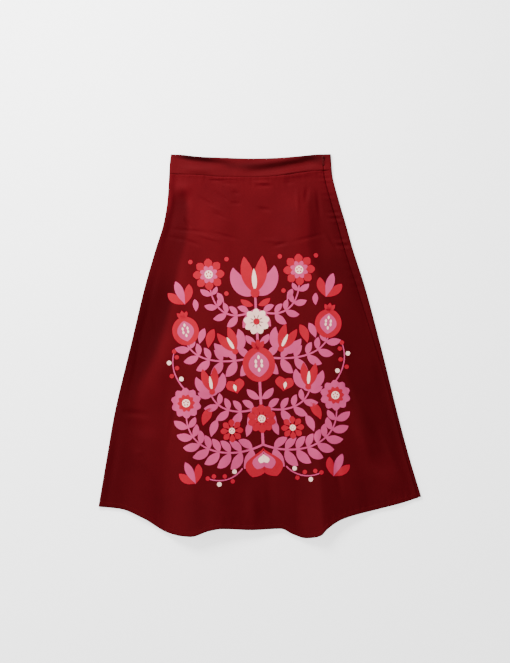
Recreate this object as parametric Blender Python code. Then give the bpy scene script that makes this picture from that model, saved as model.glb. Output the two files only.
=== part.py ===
"""A-line midi skirt laid flat: front and back panels, a shaped waistband in two parts and a side zip.

Lengths are in millimetres until they reach a mesh, which is in metres. In plan, "across" runs to the
right from the middle of the waist and "drop" runs down from the top of the waistband. The skirt lies
with its back on the surface (z = 0), its front upwards, its waist towards +Y.
"""

import math

import bmesh
import bpy
import numpy as np
from mathutils import Matrix, Vector

MM = 0.001

# Cloth
PANEL_WALL = 1.4
HEM_WALL = 2.2
HEM_DEPTH = 12.0
BAND_WALL = 2.4
SEAM_GAP = 0.3
PANEL_ROLL = 3.2
BAND_ROLL = 3.6

# Side zip, on the wearer's left. Below it the seam runs out towards the folded edge between two shares
# of the way down.
ZIP_INSET = 17.0
SEAM_INSET_AT_HEM = 6.0
SEAM_RUNS_OUT = (0.3, 0.75)
ZIP_END_DROP = 196.0
CHAIN_WIDTH = 2.4
CHAIN_THICKNESS = 1.2
CHAIN_SINK = 1.0
CHAIN_START_DROP = 1.5
SLIT_CLOSES = (2.0, 10.0)

# Slider: a plate, a stem in the slit below it and a bridge above it, both rooted in the plate
SLIDER_LENGTH = 7.6
SLIDER_WIDTH = 5.0
SLIDER_CORNER = 1.6
SLIDER_PLATE = 1.0
SLIDER_TOP_DROP = 2.5
ROOT = 0.4
STEM_WIDTH = 2.0
STEM_LENGTH = 5.2
BRIDGE_WIDTH = 1.4
BRIDGE_LENGTH = 4.4
BRIDGE_HEIGHT = 3.2
BRIDGE_HOLE = 2.2
BRIDGE_BEVEL = 0.5

# Pull tab
TAB_LENGTH = 17.0
TAB_WIDTH = 4.4
TAB_NECK_WIDTH = 3.0
TAB_TIP_WIDTH = 4.8
TAB_THICKNESS = 1.0
TAB_BAR = 1.1
TAB_WINDOW_WIDTH = 2.2
TAB_WINDOW_LENGTH = 3.6
TAB_SHOULDER = 1.6
TAB_TAPER = 2.0
TAB_LEAN_DEG = 4.5

# The side edges of the laid skirt: drop, left, right
SIDES = (
    (0, -169.5, 166.5),
    (22, -172.0, 168.0),
    (40, -173.0, 169.5),
    (95, -176.5, 183.0),
    (146, -185.0, 198.0),
    (196, -200.5, 212.0),
    (272, -222.6, 236.5),
    (398, -253.0, 270.5),
    (549, -288.8, 308.0),
    (625, -302.0, 328.2),
    (740, -321.5, 363.0),
)

# The waistband's upper edge and the seam below it: across, drop
TOP_EDGE = (
    (-167.5, 0.5), (-149, 1.0), (-124, 4.0), (-99, 6.3), (-61, 7.4), (2, 9.2),
    (52, 8.0), (90, 5.5), (115, 3.0), (141, 0.4), (167.5, 0.0),
)
WAIST_SEAM = (
    (-170, 40.0), (-107, 43.0), (-55, 46.2), (-2, 47.3), (50, 45.0),
    (82, 41.0), (113, 36.8), (141, 33.6), (169, 32.6),
)

# The hem of each panel: across, drop. The front dips where its two flutes stand up.
FRONT_HEM = (
    (-321.3, 739.0), (-276, 743.6), (-226, 764.0), (-175, 793.5), (-150, 799.6), (-128, 801.2),
    (-87, 788.5), (-62, 784.6), (0, 787.4), (62, 785.2), (88, 797.2), (114, 804.8), (133, 803.0),
    (147, 798.0), (159, 785.4), (190, 765.3), (266, 744.3), (317, 731.0), (357, 718.0),
)
BACK_HEM = (
    (-321.3, 739.0), (-275, 741.0), (-225, 748.0), (-150, 763.0), (0, 773.0),
    (140, 765.0), (200, 751.0), (260, 737.0), (317, 723.5), (357, 718.0),
)

# Height of the upper layer of cloth where nothing folds: share of the way down, height, dome
LAY = (
    (0.0, 5.7, 2.0),
    (0.1, 5.2, 2.0),
    (0.5, 4.8, 3.4),
    (1.0, 5.6, 2.6),
)
BAND_LAY = 6.0
BAND_DOME = 2.4
DOME_POWER = 3.0
EDGE_BLEND = 9.0
EASE = 0.6
DIP_POWER = 4

# Folds that grow down to the hem: across, drop at the start and at the hem, rise, then the width of
# the left and of the right flank at the start and at the hem, and the share of them that the crest rounds
FLUTES = {
    "left flute": ((-152, 380), (-107, 805), 24.0, (30, 80), (60, 170), 0.3),
    "right flute": ((124, 380), (153, 806), 20.0, (26, 60), (40, 110), 0.08),
}

# How fast a flute's height grows towards the hem, and how its left and right flanks fall from the crest
FLUTE_GROWTH = 1.3
FLANK_POWERS = (1.6, 1.2)

# Soft swells and hollows with two quiet ends: across, drop at each end, rise, half width
SWELLS = {
    "left hollow": ((-208, 284), (-267, 547), -3.0, 40),
    "left swell": ((-153, 337), (-239, 568), 4.5, 45),
    "left dimple": ((-267, 553), (-195, 593), -2.5, 22),
    "right hollow": ((233, 368), (288, 662), -3.0, 45),
    "right streak": ((204, 505), (274, 662), 4.0, 28),
    "upper left ridge": ((-97, 58), (-101, 226), 2.0, 30),
    "upper left trough": ((-143, 66), (-149, 148), -1.8, 24),
    "left side hollow": ((-134, 70), (-206, 440), -2.4, 34),
    "upper right ridge": ((104, 46), (112, 290), 4.0, 42),
    "upper right trough": ((138, 58), (158, 260), -2.2, 28),
}

# The waistband's own soft creases, in the same columns
BAND_SWELLS = {
    "top edge at the left": ((-178, -4), (-25, 13.5), 6.0, 12),
    "top edge in the middle": ((-60, 8), (60, 8), 1.6, 10),
    "long ridge": ((150, -2), (-40, 29), 3.4, 15),
    "top edge at the right": ((146, -3), (46, 14), 3.4, 15),
    "long valley": ((150, 17), (-40, 42), -3.0, 14),
    "deeper at the right": ((146, 17), (50, 31), -2.0, 13),
    "lip above the seam": ((150, 25), (30, 46), 2.4, 9),
    "left swell": ((-162, 30), (-58, 36), 2.2, 12),
}

# Mesh. The columns crowd together across the two flutes: place, half width, how much.
COLUMN_CROWDS = ((0.30, 0.10, 1.2), (0.67, 0.07, 2.2))
FRONT_COLUMNS = 50
BACK_COLUMNS = 14
BAND_COLUMNS = 34
STRIP_COLUMNS = 3
PANEL_ROWS = 30
BAND_ROWS = 10
ROWS_CLOSER_TO_HEM = 0.85
LEAST_ROW_SPACE = 0.009
LEAST_STATION_SPACE = 0.004
ROLL_STEP_DEG = 30
MOST_STRETCH = 1.8
SHARP_DEG = 40
TIP_STEPS = 8


def curve_value(knots, at):
    """The smooth curve through the knots. It stays monotone between them, so it never overshoots."""
    x, y = np.array(knots, float).T
    at = np.clip(np.asarray(at, float), x[0], x[-1])
    step = np.diff(x)
    slope = np.diff(y) / step
    turns = slope[:-1] * slope[1:] <= 0
    before = np.where(turns, 1.0, slope[:-1])
    after = np.where(turns, 1.0, slope[1:])
    weight_before = 2 * step[1:] + step[:-1]
    weight_after = step[1:] + 2 * step[:-1]
    inner = (weight_before + weight_after) / (weight_before / before + weight_after / after)
    tangent = np.concatenate([[slope[0]], np.where(turns, 0.0, inner), [slope[-1]]])
    i = np.clip(np.searchsorted(x, at, side="right") - 1, 0, len(step) - 1)
    t = (at - x[i]) / step[i]
    return (
        (1 + 2 * t) * (1 - t) ** 2 * y[i]
        + t * (1 - t) ** 2 * step[i] * tangent[i]
        + t * t * (3 - 2 * t) * y[i + 1]
        + t * t * (t - 1) * step[i] * tangent[i + 1]
    )


def along(knots, q):
    """The drop of a curve, a share q of the way across it."""
    return curve_value(knots, knots[0][0] + (knots[-1][0] - knots[0][0]) * q)


def left_edge(drop):
    return curve_value([(row[0], row[1]) for row in SIDES], drop)


def right_edge(drop):
    return curve_value([(row[0], row[2]) for row in SIDES], drop)


def smooth(t):
    t = np.clip(t, 0, 1)
    return t * t * (3 - 2 * t)


LEFT_CORNER = FRONT_HEM[0]
RIGHT_CORNER = FRONT_HEM[-1]
CENTRE_ACROSS = float(left_edge(LEFT_CORNER[1]) + right_edge(RIGHT_CORNER[1])) / 2
CENTRE_DROP = max(drop for across, drop in FRONT_HEM) / 2


def to_world(across, drop, height):
    """Plan millimetres to metres in the part's frame, with the origin under the middle of its box."""
    return np.stack(
        np.broadcast_arrays(
            (np.asarray(across) - CENTRE_ACROSS) * MM,
            (CENTRE_DROP - np.asarray(drop)) * MM,
            np.asarray(height) * MM,
        ),
        axis=-1,
    )


def along_fold(across, drop, start, end):
    """(share of the way along the fold's line, distance to the right of it)."""
    line = np.subtract(end, start)
    length = math.hypot(*line)
    right = np.array([line[1], -line[0]]) / length
    dx, dy = across - start[0], drop - start[1]
    return (dx * line[0] + dy * line[1]) / length**2, dx * right[0] + dy * right[1]


def hump(distance, width):
    return 0.5 + 0.5 * np.cos(math.pi * np.clip(np.abs(distance) / width, 0, 1))


def flank_share(distance, width, crest, power):
    """Share of a flute's height at this distance from its crest: steepest beside it, with a quiet foot."""
    whole = math.hypot(1, crest) - crest
    out = (np.hypot(np.clip(np.abs(distance) / width, 0, 1), crest) - crest) / whole
    return np.clip(1 - out, 0, 1) ** power


def flute_height(across, drop):
    total = 0.0
    for start, end, rise, left, right, crest in FLUTES.values():
        t, distance = along_fold(across, drop, start, end)
        t = np.clip(t, 0, 1)
        flanks = [
            flank_share(distance, widths[0] + (widths[1] - widths[0]) * t, crest, power)
            for widths, power in zip((left, right), FLANK_POWERS)
        ]
        total = total + rise * t**FLUTE_GROWTH * np.where(distance < 0, *flanks)
    return total


def swell_height(swells, across, drop):
    total = 0.0
    for start, end, rise, width in swells.values():
        t, distance = along_fold(across, drop, start, end)
        total = total + rise * np.sin(math.pi * np.clip(t, 0, 1)) ** 2 * hump(distance, width)
    return total


def kept_above(height, least):
    """The height, eased so that it never comes under the least one."""
    return least + EASE * np.logaddexp(0, (height - least) / EASE)


def over_edges(height, roll, from_left, from_right):
    """The height near the two folded side edges, where the cloth rises into their roll."""
    for inward in (from_left, from_right):
        nearness = np.exp(-((np.maximum(inward - roll, 0) / EDGE_BLEND) ** 2))
        height = height + (2 * roll - height) * nearness
    return height


def dome(q):
    return 1 - np.abs(2 * q - 1) ** DOME_POWER


class Row:
    """One row of cloth across the laid skirt, from its left edge to its right edge."""

    def __init__(self, left_drop, right_drop, front_drop, back_drop, share, roll):
        self.left = float(left_edge(left_drop))
        self.right = float(right_edge(right_drop))
        self.front_drop = front_drop
        self.back_drop = back_drop
        self.share = share
        self.roll = roll

    def q(self, across):
        return (np.asarray(across, float) - self.left) / (self.right - self.left)


def panel_row(share):
    """The row a given share of the way from the waist seam to the hem."""
    seam_left, seam_right = WAIST_SEAM[0][1], WAIST_SEAM[-1][1]

    def back_drop(q):
        at_waist = along(WAIST_SEAM, q) + SEAM_GAP
        return at_waist * (1 - share) + along(BACK_HEM, q) * share

    def front_drop(q):
        return back_drop(q) + share**DIP_POWER * (along(FRONT_HEM, q) - along(BACK_HEM, q))

    left_drop = seam_left + (LEFT_CORNER[1] - seam_left) * share
    right_drop = seam_right + (RIGHT_CORNER[1] - seam_right) * share
    return Row(left_drop, right_drop, front_drop, back_drop, share, PANEL_ROLL)


def band_row(share):
    """The row a given share of the way from the waistband's upper edge to the waist seam."""

    def drop(q):
        top = along(TOP_EDGE, q)
        return top + (along(WAIST_SEAM, q) - top) * share

    return Row(drop(0.0), drop(1.0), drop, drop, share, BAND_ROLL)


def panel_height(row, across):
    """Height of the front panel's outer face. Its wall thickens over the last quarter of the way."""
    q = row.q(across)
    drop = row.front_drop(q)
    lay = curve_value([(line[0], line[1]) for line in LAY], row.share)
    lift = curve_value([(line[0], line[2]) for line in LAY], row.share)
    height = lay + lift * dome(q) + flute_height(across, drop) + swell_height(SWELLS, across, drop)
    wall = PANEL_WALL + (HEM_WALL - PANEL_WALL) * smooth(row.share * 4 - 3)
    height = kept_above(height, 2 * wall + SEAM_GAP)
    return over_edges(height, row.roll, across - row.left, row.right - across)


def band_height(row, across):
    """Height of the front waistband's outer face."""
    q = row.q(across)
    height = BAND_LAY + BAND_DOME * dome(q) + swell_height(BAND_SWELLS, across, row.front_drop(q))
    height = kept_above(height, 2 * BAND_WALL + SEAM_GAP)
    return over_edges(height, row.roll, across - row.left, row.right - across)


def seam_inset(share):
    """How far the side seam lies from the folded edge: level along the zip, then out towards the hem."""
    first, last = SEAM_RUNS_OUT
    return ZIP_INSET + (SEAM_INSET_AT_HEM - ZIP_INSET) * smooth((share - first) / (last - first))


def half_gap(drop):
    """Half the width of the slit between the front and the wrapped edge of the back."""
    open_half = CHAIN_WIDTH / 2 + SEAM_GAP
    starts, ends = SLIT_CLOSES
    closed = smooth((drop - ZIP_END_DROP - starts) / (ends - starts))
    return open_half + (SEAM_GAP / 2 - open_half) * closed


def spread_columns(count):
    """Shares from 0 to 1 that lie closer together across the two flutes."""
    q = np.linspace(0, 1, 400)
    density = 1 + sum(more * np.exp(-(((q - place) / half) ** 2)) for place, half, more in COLUMN_CROWDS)
    filled = np.concatenate([[0], np.cumsum((density[1:] + density[:-1]) / 2)])
    return np.interp(np.linspace(0, filled[-1], count + 1), filled, q)


def roll_arc(centre, roll, first_deg, last_deg):
    """Points on a folded edge, then their direction into the cloth: across, height, in across, in height."""
    steps = round(abs(last_deg - first_deg) / ROLL_STEP_DEG)
    angle = np.radians(np.linspace(first_deg, last_deg, steps + 1))
    out_across, out_height = np.cos(angle), np.sin(angle)
    return np.stack([centre + roll * out_across, roll + roll * out_height, -out_across, -out_height])


def laid(across, height, side):
    """Points where the cloth lies, whose wall is measured straight up or down, more where they slope."""
    slope = np.gradient(height, across)
    stretch = np.minimum(np.hypot(1, slope), MOST_STRETCH)
    return np.stack([across, height, 0 * across, side * stretch])


def seam_end(row, side):
    """The level edge of the left side seam, half the seam gap above or below the middle of the roll."""
    half = SEAM_GAP / 2
    reach = math.sqrt(row.roll**2 - half**2)
    return np.array([[row.left + row.roll - reach], [row.roll + side * half], [1], [0]])


def front_section(row, height_of, seam, gap):
    """The front's outer face, from the left side seam to the slit."""
    arc = roll_arc(row.left + row.roll, row.roll, 180 - ROLL_STEP_DEG, 90)
    count = FRONT_COLUMNS if height_of is panel_height else BAND_COLUMNS
    start = row.left + row.roll
    flat = start + (seam - gap - start) * spread_columns(count)
    top = laid(flat, height_of(row, flat), -1)[:, 1:]
    points = np.concatenate([seam_end(row, 1), arc, top], axis=1)
    return np.vstack([points, row.front_drop(row.q(points[0]))])


def back_section(row, height_of, seam, gap):
    """The back's outer face, from the left side seam, underneath and up round the right edge to the slit."""
    left_arc = roll_arc(row.left + row.roll, row.roll, 180 + ROLL_STEP_DEG, 270)
    right_arc = roll_arc(row.right - row.roll, row.roll, 270, 450)
    under = np.linspace(row.left + row.roll, row.right - row.roll, BACK_COLUMNS + 1)[1:-1]
    strip = np.linspace(row.right - row.roll, seam + gap, STRIP_COLUMNS + 1)
    top = laid(strip, height_of(row, strip), -1)[:, 1:]
    below = np.concatenate([seam_end(row, -1), left_arc, laid(under, 0 * under, 1), right_arc], axis=1)
    return np.concatenate(
        [
            np.vstack([below, row.back_drop(row.q(below[0]))]),
            np.vstack([top, row.front_drop(row.q(top[0]))]),
        ],
        axis=1,
    )


def wall_mesh(name, sections, walls):
    """A closed wall of cloth. A section holds rows of across, height, in across, in height and drop."""
    outer, inner = [], []
    for (across, height, in_across, in_height, drop), wall in zip(sections, walls):
        outer.append(to_world(across, drop, height))
        inner.append(to_world(across + wall * in_across, drop, height + wall * in_height))
    points = np.concatenate([np.array(outer), np.array(inner)])
    rows, columns = len(outer), len(outer[0])
    index = np.arange(2 * rows * columns).reshape(2 * rows, columns)
    face_out, face_in = index[:rows], index[rows:]
    quads = []
    for i in range(rows - 1):
        for j in range(columns - 1):
            quads.append((face_out[i, j], face_out[i + 1, j], face_out[i + 1, j + 1], face_out[i, j + 1]))
            quads.append((face_in[i, j], face_in[i, j + 1], face_in[i + 1, j + 1], face_in[i + 1, j]))
    for i in range(rows - 1):
        quads.append((face_out[i, 0], face_in[i, 0], face_in[i + 1, 0], face_out[i + 1, 0]))
        quads.append((face_out[i, -1], face_out[i + 1, -1], face_in[i + 1, -1], face_in[i, -1]))
    for j in range(columns - 1):
        quads.append((face_out[0, j], face_out[0, j + 1], face_in[0, j + 1], face_in[0, j]))
        quads.append((face_out[-1, j], face_in[-1, j], face_in[-1, j + 1], face_out[-1, j + 1]))
    mesh = bpy.data.meshes.new(name)
    mesh.from_pydata(points.reshape(-1, 3).tolist(), [], [tuple(int(k) for k in quad) for quad in quads])
    facing = bmesh.new()
    facing.from_mesh(mesh)
    bmesh.ops.recalc_face_normals(facing, faces=facing.faces)
    facing.to_mesh(mesh)
    facing.free()
    return mesh


def material(name, colour, roughness, metallic=0.0):
    made = bpy.data.materials.new(name)
    made.use_nodes = True
    shader = made.node_tree.nodes["Principled BSDF"]
    shader.inputs["Base Color"].default_value = (*colour, 1)
    shader.inputs["Roughness"].default_value = roughness
    shader.inputs["Metallic"].default_value = metallic
    return made


def add_object(name, mesh, finish, parent, smooth_shaded=True):
    thing = bpy.data.objects.new(name, mesh)
    bpy.context.scene.collection.objects.link(thing)
    mesh.materials.append(finish)
    if smooth_shaded:
        mesh.shade_smooth()
        mesh.set_sharp_from_angle(angle=math.radians(SHARP_DEG))
    thing.parent = parent
    return thing


def band_shares():
    return np.linspace(0, 1, BAND_ROWS + 1)


def panel_shares():
    """Shares down the panels, with rows of their own at the zip's end and where the hem's fold starts."""
    hem_fold = RIGHT_CORNER[1] - HEM_DEPTH
    own_drops = (ZIP_END_DROP + SLIT_CLOSES[0], ZIP_END_DROP + SLIT_CLOSES[1], hem_fold, hem_fold + 1)
    own = np.array([share_at_drop(drop) for drop in own_drops])
    spaced = np.linspace(0, 1, PANEL_ROWS) ** ROWS_CLOSER_TO_HEM
    kept = [share for share in spaced if np.abs(own - share).min() > LEAST_ROW_SPACE]
    return np.sort(np.concatenate([kept, own]))


def share_at_drop(drop):
    """Share of the way down the panels at which the right edge has this drop."""
    return (drop - WAIST_SEAM[-1][1]) / (RIGHT_CORNER[1] - WAIST_SEAM[-1][1])


def panel_gap(share):
    return half_gap(WAIST_SEAM[-1][1] + share * (RIGHT_CORNER[1] - WAIST_SEAM[-1][1]))


def build_panels(cloth, parent):
    shares = panel_shares()
    hem_starts = share_at_drop(RIGHT_CORNER[1] - HEM_DEPTH + 0.5)
    walls = [HEM_WALL if share > hem_starts else PANEL_WALL for share in shares]
    for which, section in (("front", front_section), ("back", back_section)):
        sections = []
        for share in shares:
            row = panel_row(share)
            sections.append(section(row, panel_height, row.right - seam_inset(share), panel_gap(share)))
        add_object(which + "_panel", wall_mesh(which + "_panel", sections, walls), cloth, parent)


def build_waistbands(cloth, parent):
    for which, section in (("front", front_section), ("back", back_section)):
        rows = [band_row(share) for share in band_shares()]
        sections = [section(row, band_height, row.right - ZIP_INSET, half_gap(0.0)) for row in rows]
        mesh = wall_mesh(which + "_waistband", sections, [BAND_WALL] * len(rows))
        add_object(which + "_waistband", mesh, cloth, parent)


def zip_station(row, height_of, inset):
    """Across, drop and height of the middle of the slit on this row."""
    across = row.right - inset
    return float(across), float(row.front_drop(row.q(across))), float(height_of(row, across))


def zip_stations():
    """The slit's middle line from the waistband's top to the zip's end, on the cloth's own rows."""
    band = [zip_station(band_row(share), band_height, ZIP_INSET) for share in band_shares()]
    zip_end = share_at_drop(ZIP_END_DROP)
    shares = [share for share in panel_shares() if share < zip_end - LEAST_STATION_SPACE] + [zip_end]
    panel = [zip_station(panel_row(share), panel_height, seam_inset(share)) for share in shares]
    return band[:-1] + panel


def build_zip_chain(tape, parent):
    """The closed chain and its tape edge, one narrow strip that fills the slit just under the cloth."""
    half = CHAIN_WIDTH / 2
    shape = bmesh.new()
    loops = []
    for number, (across, drop, height) in enumerate(zip_stations()):
        top = height - CHAIN_SINK
        corners = ((-half, top), (half, top), (half, top - CHAIN_THICKNESS), (-half, top - CHAIN_THICKNESS))
        start = CHAIN_START_DROP if number == 0 else 0.0
        places = [to_world(across + side, drop + start, level).tolist() for side, level in corners]
        loops.append([shape.verts.new(place) for place in places])
    for above, below in zip(loops, loops[1:]):
        for i in range(4):
            shape.faces.new((above[i], above[i - 1], below[i - 1], below[i]))
    shape.faces.new(loops[0])
    shape.faces.new(list(reversed(loops[-1])))
    bmesh.ops.recalc_face_normals(shape, faces=shape.faces)
    mesh = bpy.data.meshes.new("zip_chain")
    shape.to_mesh(mesh)
    shape.free()
    add_object("zip_chain", mesh, tape, parent)


def outline_object(name, outline, holes, thickness):
    """A flat plate cut from a closed outline with holes, in its own XY plane."""
    curve = bpy.data.curves.new(name, "CURVE")
    curve.dimensions = "2D"
    curve.fill_mode = "BOTH"
    curve.extrude = thickness / 2 * MM
    for loop in [outline, *holes]:
        spline = curve.splines.new("POLY")
        spline.points.add(len(loop) - 1)
        for point, (x, y) in zip(spline.points, loop):
            point.co = (x * MM, y * MM, 0, 1)
        spline.use_cyclic_u = True
    thing = bpy.data.objects.new(name, curve)
    bpy.context.scene.collection.objects.link(thing)
    return thing


def rounded_rectangle(width, length, radius, steps=3):
    """Corner points of a rectangle with round corners, about its middle."""
    points = []
    for turn, (sx, sy) in enumerate(((1, 1), (-1, 1), (-1, -1), (1, -1))):
        for i in range(steps + 1):
            angle = math.radians(90 * turn + 90 * i / steps)
            points.append(
                (
                    sx * (width / 2 - radius) + radius * math.cos(angle),
                    sy * (length / 2 - radius) + radius * math.sin(angle),
                )
            )
    return points


def slider_place():
    """Across and drop of the slider's middle, and the height of the cloth under its plate."""
    middle = SLIDER_TOP_DROP + SLIDER_LENGTH / 2
    slit_across, slit_drop, _ = np.array(zip_stations()).T
    across = float(np.interp(middle, slit_drop, slit_across))
    heights = []
    for drop in np.linspace(SLIDER_TOP_DROP, SLIDER_TOP_DROP + SLIDER_LENGTH, 5):
        row = band_row(drop / WAIST_SEAM[-1][1])
        heights.extend(band_height(row, across + np.linspace(-1, 1, 5) * SLIDER_WIDTH / 2))
    return across, middle, float(max(heights))


def box_object(name, size, centre):
    bpy.ops.mesh.primitive_cube_add(size=1)
    box = bpy.context.object
    box.name = name
    box.data.transform(Matrix.Diagonal((*(s * MM for s in size), 1)))
    box.data.transform(Matrix.Translation(Vector(centre) * MM))
    return box


def build_slider(metal, parent):
    """A plate over the slit, a stem in it, and the bridge that the pull tab hooks under, and its pivot."""
    across, middle, cloth_height = slider_place()
    plate_bottom = cloth_height + SEAM_GAP
    plate_top = plate_bottom + SLIDER_PLATE
    plate = rounded_rectangle(SLIDER_WIDTH, SLIDER_LENGTH, SLIDER_CORNER)
    slider = outline_object("zip_slider", plate, [], SLIDER_PLATE)
    slider.data.materials.append(metal)
    origin = Vector(to_world(across, middle, plate_bottom + SLIDER_PLATE / 2).tolist())
    slider.location = origin
    slider.parent = parent
    bpy.context.view_layer.objects.active = slider
    slider.select_set(True)
    bpy.ops.object.convert(target="MESH")
    chain_top = max(height for _, drop, height in zip_stations() if drop < 2 * middle) - CHAIN_SINK
    stem_bottom = chain_top + 2 * SEAM_GAP
    stem_height = plate_bottom + ROOT - stem_bottom
    stem_middle = stem_bottom + stem_height / 2 - (plate_bottom + plate_top) / 2
    stem = box_object("stem", (STEM_WIDTH, STEM_LENGTH, stem_height), (0, 0, stem_middle))
    bridge_middle = SLIDER_PLATE / 2 + (BRIDGE_HEIGHT - ROOT) / 2
    bridge_size = (BRIDGE_WIDTH, BRIDGE_LENGTH, BRIDGE_HEIGHT + ROOT)
    bridge = box_object("bridge", bridge_size, (0, 0, bridge_middle))
    rounding = bridge.modifiers.new("Bevel", "BEVEL")
    rounding.width = BRIDGE_BEVEL * MM
    rounding.segments = 2
    hole_middle = SLIDER_PLATE / 2 + BRIDGE_HOLE / 2
    hole = box_object("bridge hole", (2 * BRIDGE_WIDTH, BRIDGE_HOLE, BRIDGE_HOLE), (0, 0, hole_middle))
    for tool in (stem, bridge, hole):
        tool.location = origin
        tool.parent = parent
        tool.hide_render = True
        tool.display_type = "WIRE"
    opened = bridge.modifiers.new("Bridge hole", "BOOLEAN")
    opened.operation = "DIFFERENCE"
    opened.object = hole
    for tool in (stem, bridge):
        joined = slider.modifiers.new(tool.name, "BOOLEAN")
        joined.operation = "UNION"
        joined.object = tool
    return across, middle, plate_top + BRIDGE_HOLE / 2


def teardrop_outline():
    """The pull tab's outline. Its bar is at y = 0 on the pivot, and its neck widens to a round tip."""
    shoulder = -(TAB_WINDOW_LENGTH + TAB_SHOULDER)
    left_side = [
        (-TAB_WIDTH / 2, TAB_BAR / 2),
        (-TAB_WIDTH / 2, shoulder),
        (-TAB_NECK_WIDTH / 2, shoulder - TAB_TAPER),
    ]
    tip_radius = TAB_TIP_WIDTH / 2
    tip_centre = tip_radius - TAB_LENGTH
    tip = []
    for i in range(TIP_STEPS + 1):
        angle = math.pi * (1 + i / TIP_STEPS)
        tip.append((tip_radius * math.cos(angle), tip_centre + tip_radius * math.sin(angle)))
    return left_side + tip + [(-x, y) for x, y in reversed(left_side)]


def build_pull_tab(metal, pivot, parent):
    """A flat tab whose top bar passes under the slider's bridge. Its origin is on the bar's axis."""
    half = TAB_WINDOW_WIDTH / 2
    window_top, window_bottom = -TAB_BAR / 2, -TAB_WINDOW_LENGTH
    window = [(-half, window_top), (half, window_top), (half, window_bottom), (-half, window_bottom)]
    tab = outline_object("zip_pull", teardrop_outline(), [window], TAB_THICKNESS)
    tab.data.materials.append(metal)
    across, drop, height = pivot
    tab.location = Vector(to_world(across, drop, height).tolist())
    tab.rotation_euler = (math.radians(TAB_LEAN_DEG), 0, 0)
    tab.parent = parent


def main():
    for thing in list(bpy.data.objects):
        bpy.data.objects.remove(thing, do_unlink=True)
    skirt = bpy.data.objects.new("skirt", None)
    bpy.context.scene.collection.objects.link(skirt)
    cloth = material("burgundy cotton", (0.155, 0.009, 0.013), 0.72)
    band_cloth = material("waistband cotton", (0.17, 0.011, 0.015), 0.7)
    tape = material("zip tape", (0.07, 0.004, 0.007), 0.8)
    metal = material("enamelled zip metal", (0.12, 0.012, 0.016), 0.35, 0.3)
    build_panels(cloth, skirt)
    build_waistbands(band_cloth, skirt)
    build_zip_chain(tape, skirt)
    pivot = build_slider(metal, skirt)
    build_pull_tab(metal, pivot, skirt)


main()
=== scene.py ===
"""Looks of the midi skirt laid flat: fine cloth shells, seams, stitches, zip and a folk floral print.

Lengths are in millimetres until they reach a mesh, which is in metres. In plan, "across" runs to the
right from the middle of the waist and "drop" runs down from the top of the waistband. "share" runs from
0 at a piece's upper edge to 1 at its lower edge, and "q" from 0 at its left edge to 1 at its right.
"""

import math
from collections import namedtuple
from functools import partial

import bmesh
import bpy
import numpy as np
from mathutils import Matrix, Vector
from mathutils.bvhtree import BVHTree


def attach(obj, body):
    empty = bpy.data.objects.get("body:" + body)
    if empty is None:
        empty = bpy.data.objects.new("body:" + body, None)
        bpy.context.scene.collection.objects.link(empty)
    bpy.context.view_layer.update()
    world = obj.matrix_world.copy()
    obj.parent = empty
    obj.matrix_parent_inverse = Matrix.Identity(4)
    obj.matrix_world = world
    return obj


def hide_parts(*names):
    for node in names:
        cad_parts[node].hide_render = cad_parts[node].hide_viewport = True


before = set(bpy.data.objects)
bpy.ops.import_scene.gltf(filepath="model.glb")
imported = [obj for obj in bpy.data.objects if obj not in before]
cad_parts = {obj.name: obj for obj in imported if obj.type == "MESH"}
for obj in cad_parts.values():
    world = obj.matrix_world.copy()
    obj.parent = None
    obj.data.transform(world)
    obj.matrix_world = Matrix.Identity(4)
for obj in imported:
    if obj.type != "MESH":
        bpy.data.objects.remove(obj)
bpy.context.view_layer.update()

MM = 0.001

# The skirt's form, as the solids have it
PANEL_WALL = 1.4
HEM_WALL = 2.2
HEM_DEPTH = 12.0
BAND_WALL = 2.4
SEAM_GAP = 0.3
PANEL_ROLL = 3.2
BAND_ROLL = 3.6
ZIP_INSET = 17.0
SEAM_INSET_AT_HEM = 6.0
ZIP_END_DROP = 196.0
SLIT_CLOSES = (2.0, 10.0)

# The side seam moves out to its inset at the hem: the share of the way down where it starts, and how long
SEAM_SHIFT = (0.3, 0.45)

# The side edges of the laid skirt: drop, left, right
SIDES = (
    (0, -169.5, 166.5),
    (22, -172.0, 168.0),
    (40, -173.0, 169.5),
    (95, -176.5, 183.0),
    (146, -185.0, 198.0),
    (196, -200.5, 212.0),
    (272, -222.6, 236.5),
    (398, -253.0, 270.5),
    (549, -288.8, 308.0),
    (625, -302.0, 328.2),
    (740, -321.5, 363.0),
)

# The waistband's upper edge and the seam below it: across, drop
TOP_EDGE = (
    (-167.5, 0.5), (-149, 1.0), (-124, 4.0), (-99, 6.3), (-61, 7.4), (2, 9.2),
    (52, 8.0), (90, 5.5), (115, 3.0), (141, 0.4), (167.5, 0.0),
)
WAIST_SEAM = (
    (-170, 40.0), (-107, 43.0), (-55, 46.2), (-2, 47.3), (50, 45.0),
    (82, 41.0), (113, 36.8), (141, 33.6), (169, 32.6),
)

# The hem of each panel: across, drop
FRONT_HEM = (
    (-321.3, 739.0), (-276, 743.6), (-226, 764.0), (-175, 793.5), (-150, 799.6), (-128, 801.2),
    (-87, 788.5), (-62, 784.6), (0, 787.4), (62, 785.2), (88, 797.2), (114, 804.8), (133, 803.0),
    (147, 798.0), (159, 785.4), (190, 765.3), (266, 744.3), (317, 731.0), (357, 718.0),
)
BACK_HEM = (
    (-321.3, 739.0), (-275, 741.0), (-225, 748.0), (-150, 763.0), (0, 773.0),
    (140, 765.0), (200, 751.0), (260, 737.0), (317, 723.5), (357, 718.0),
)

# How late on the way down the front panel's rows take up the dips of its own hem
HEM_DIP_POWER = 4

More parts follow.
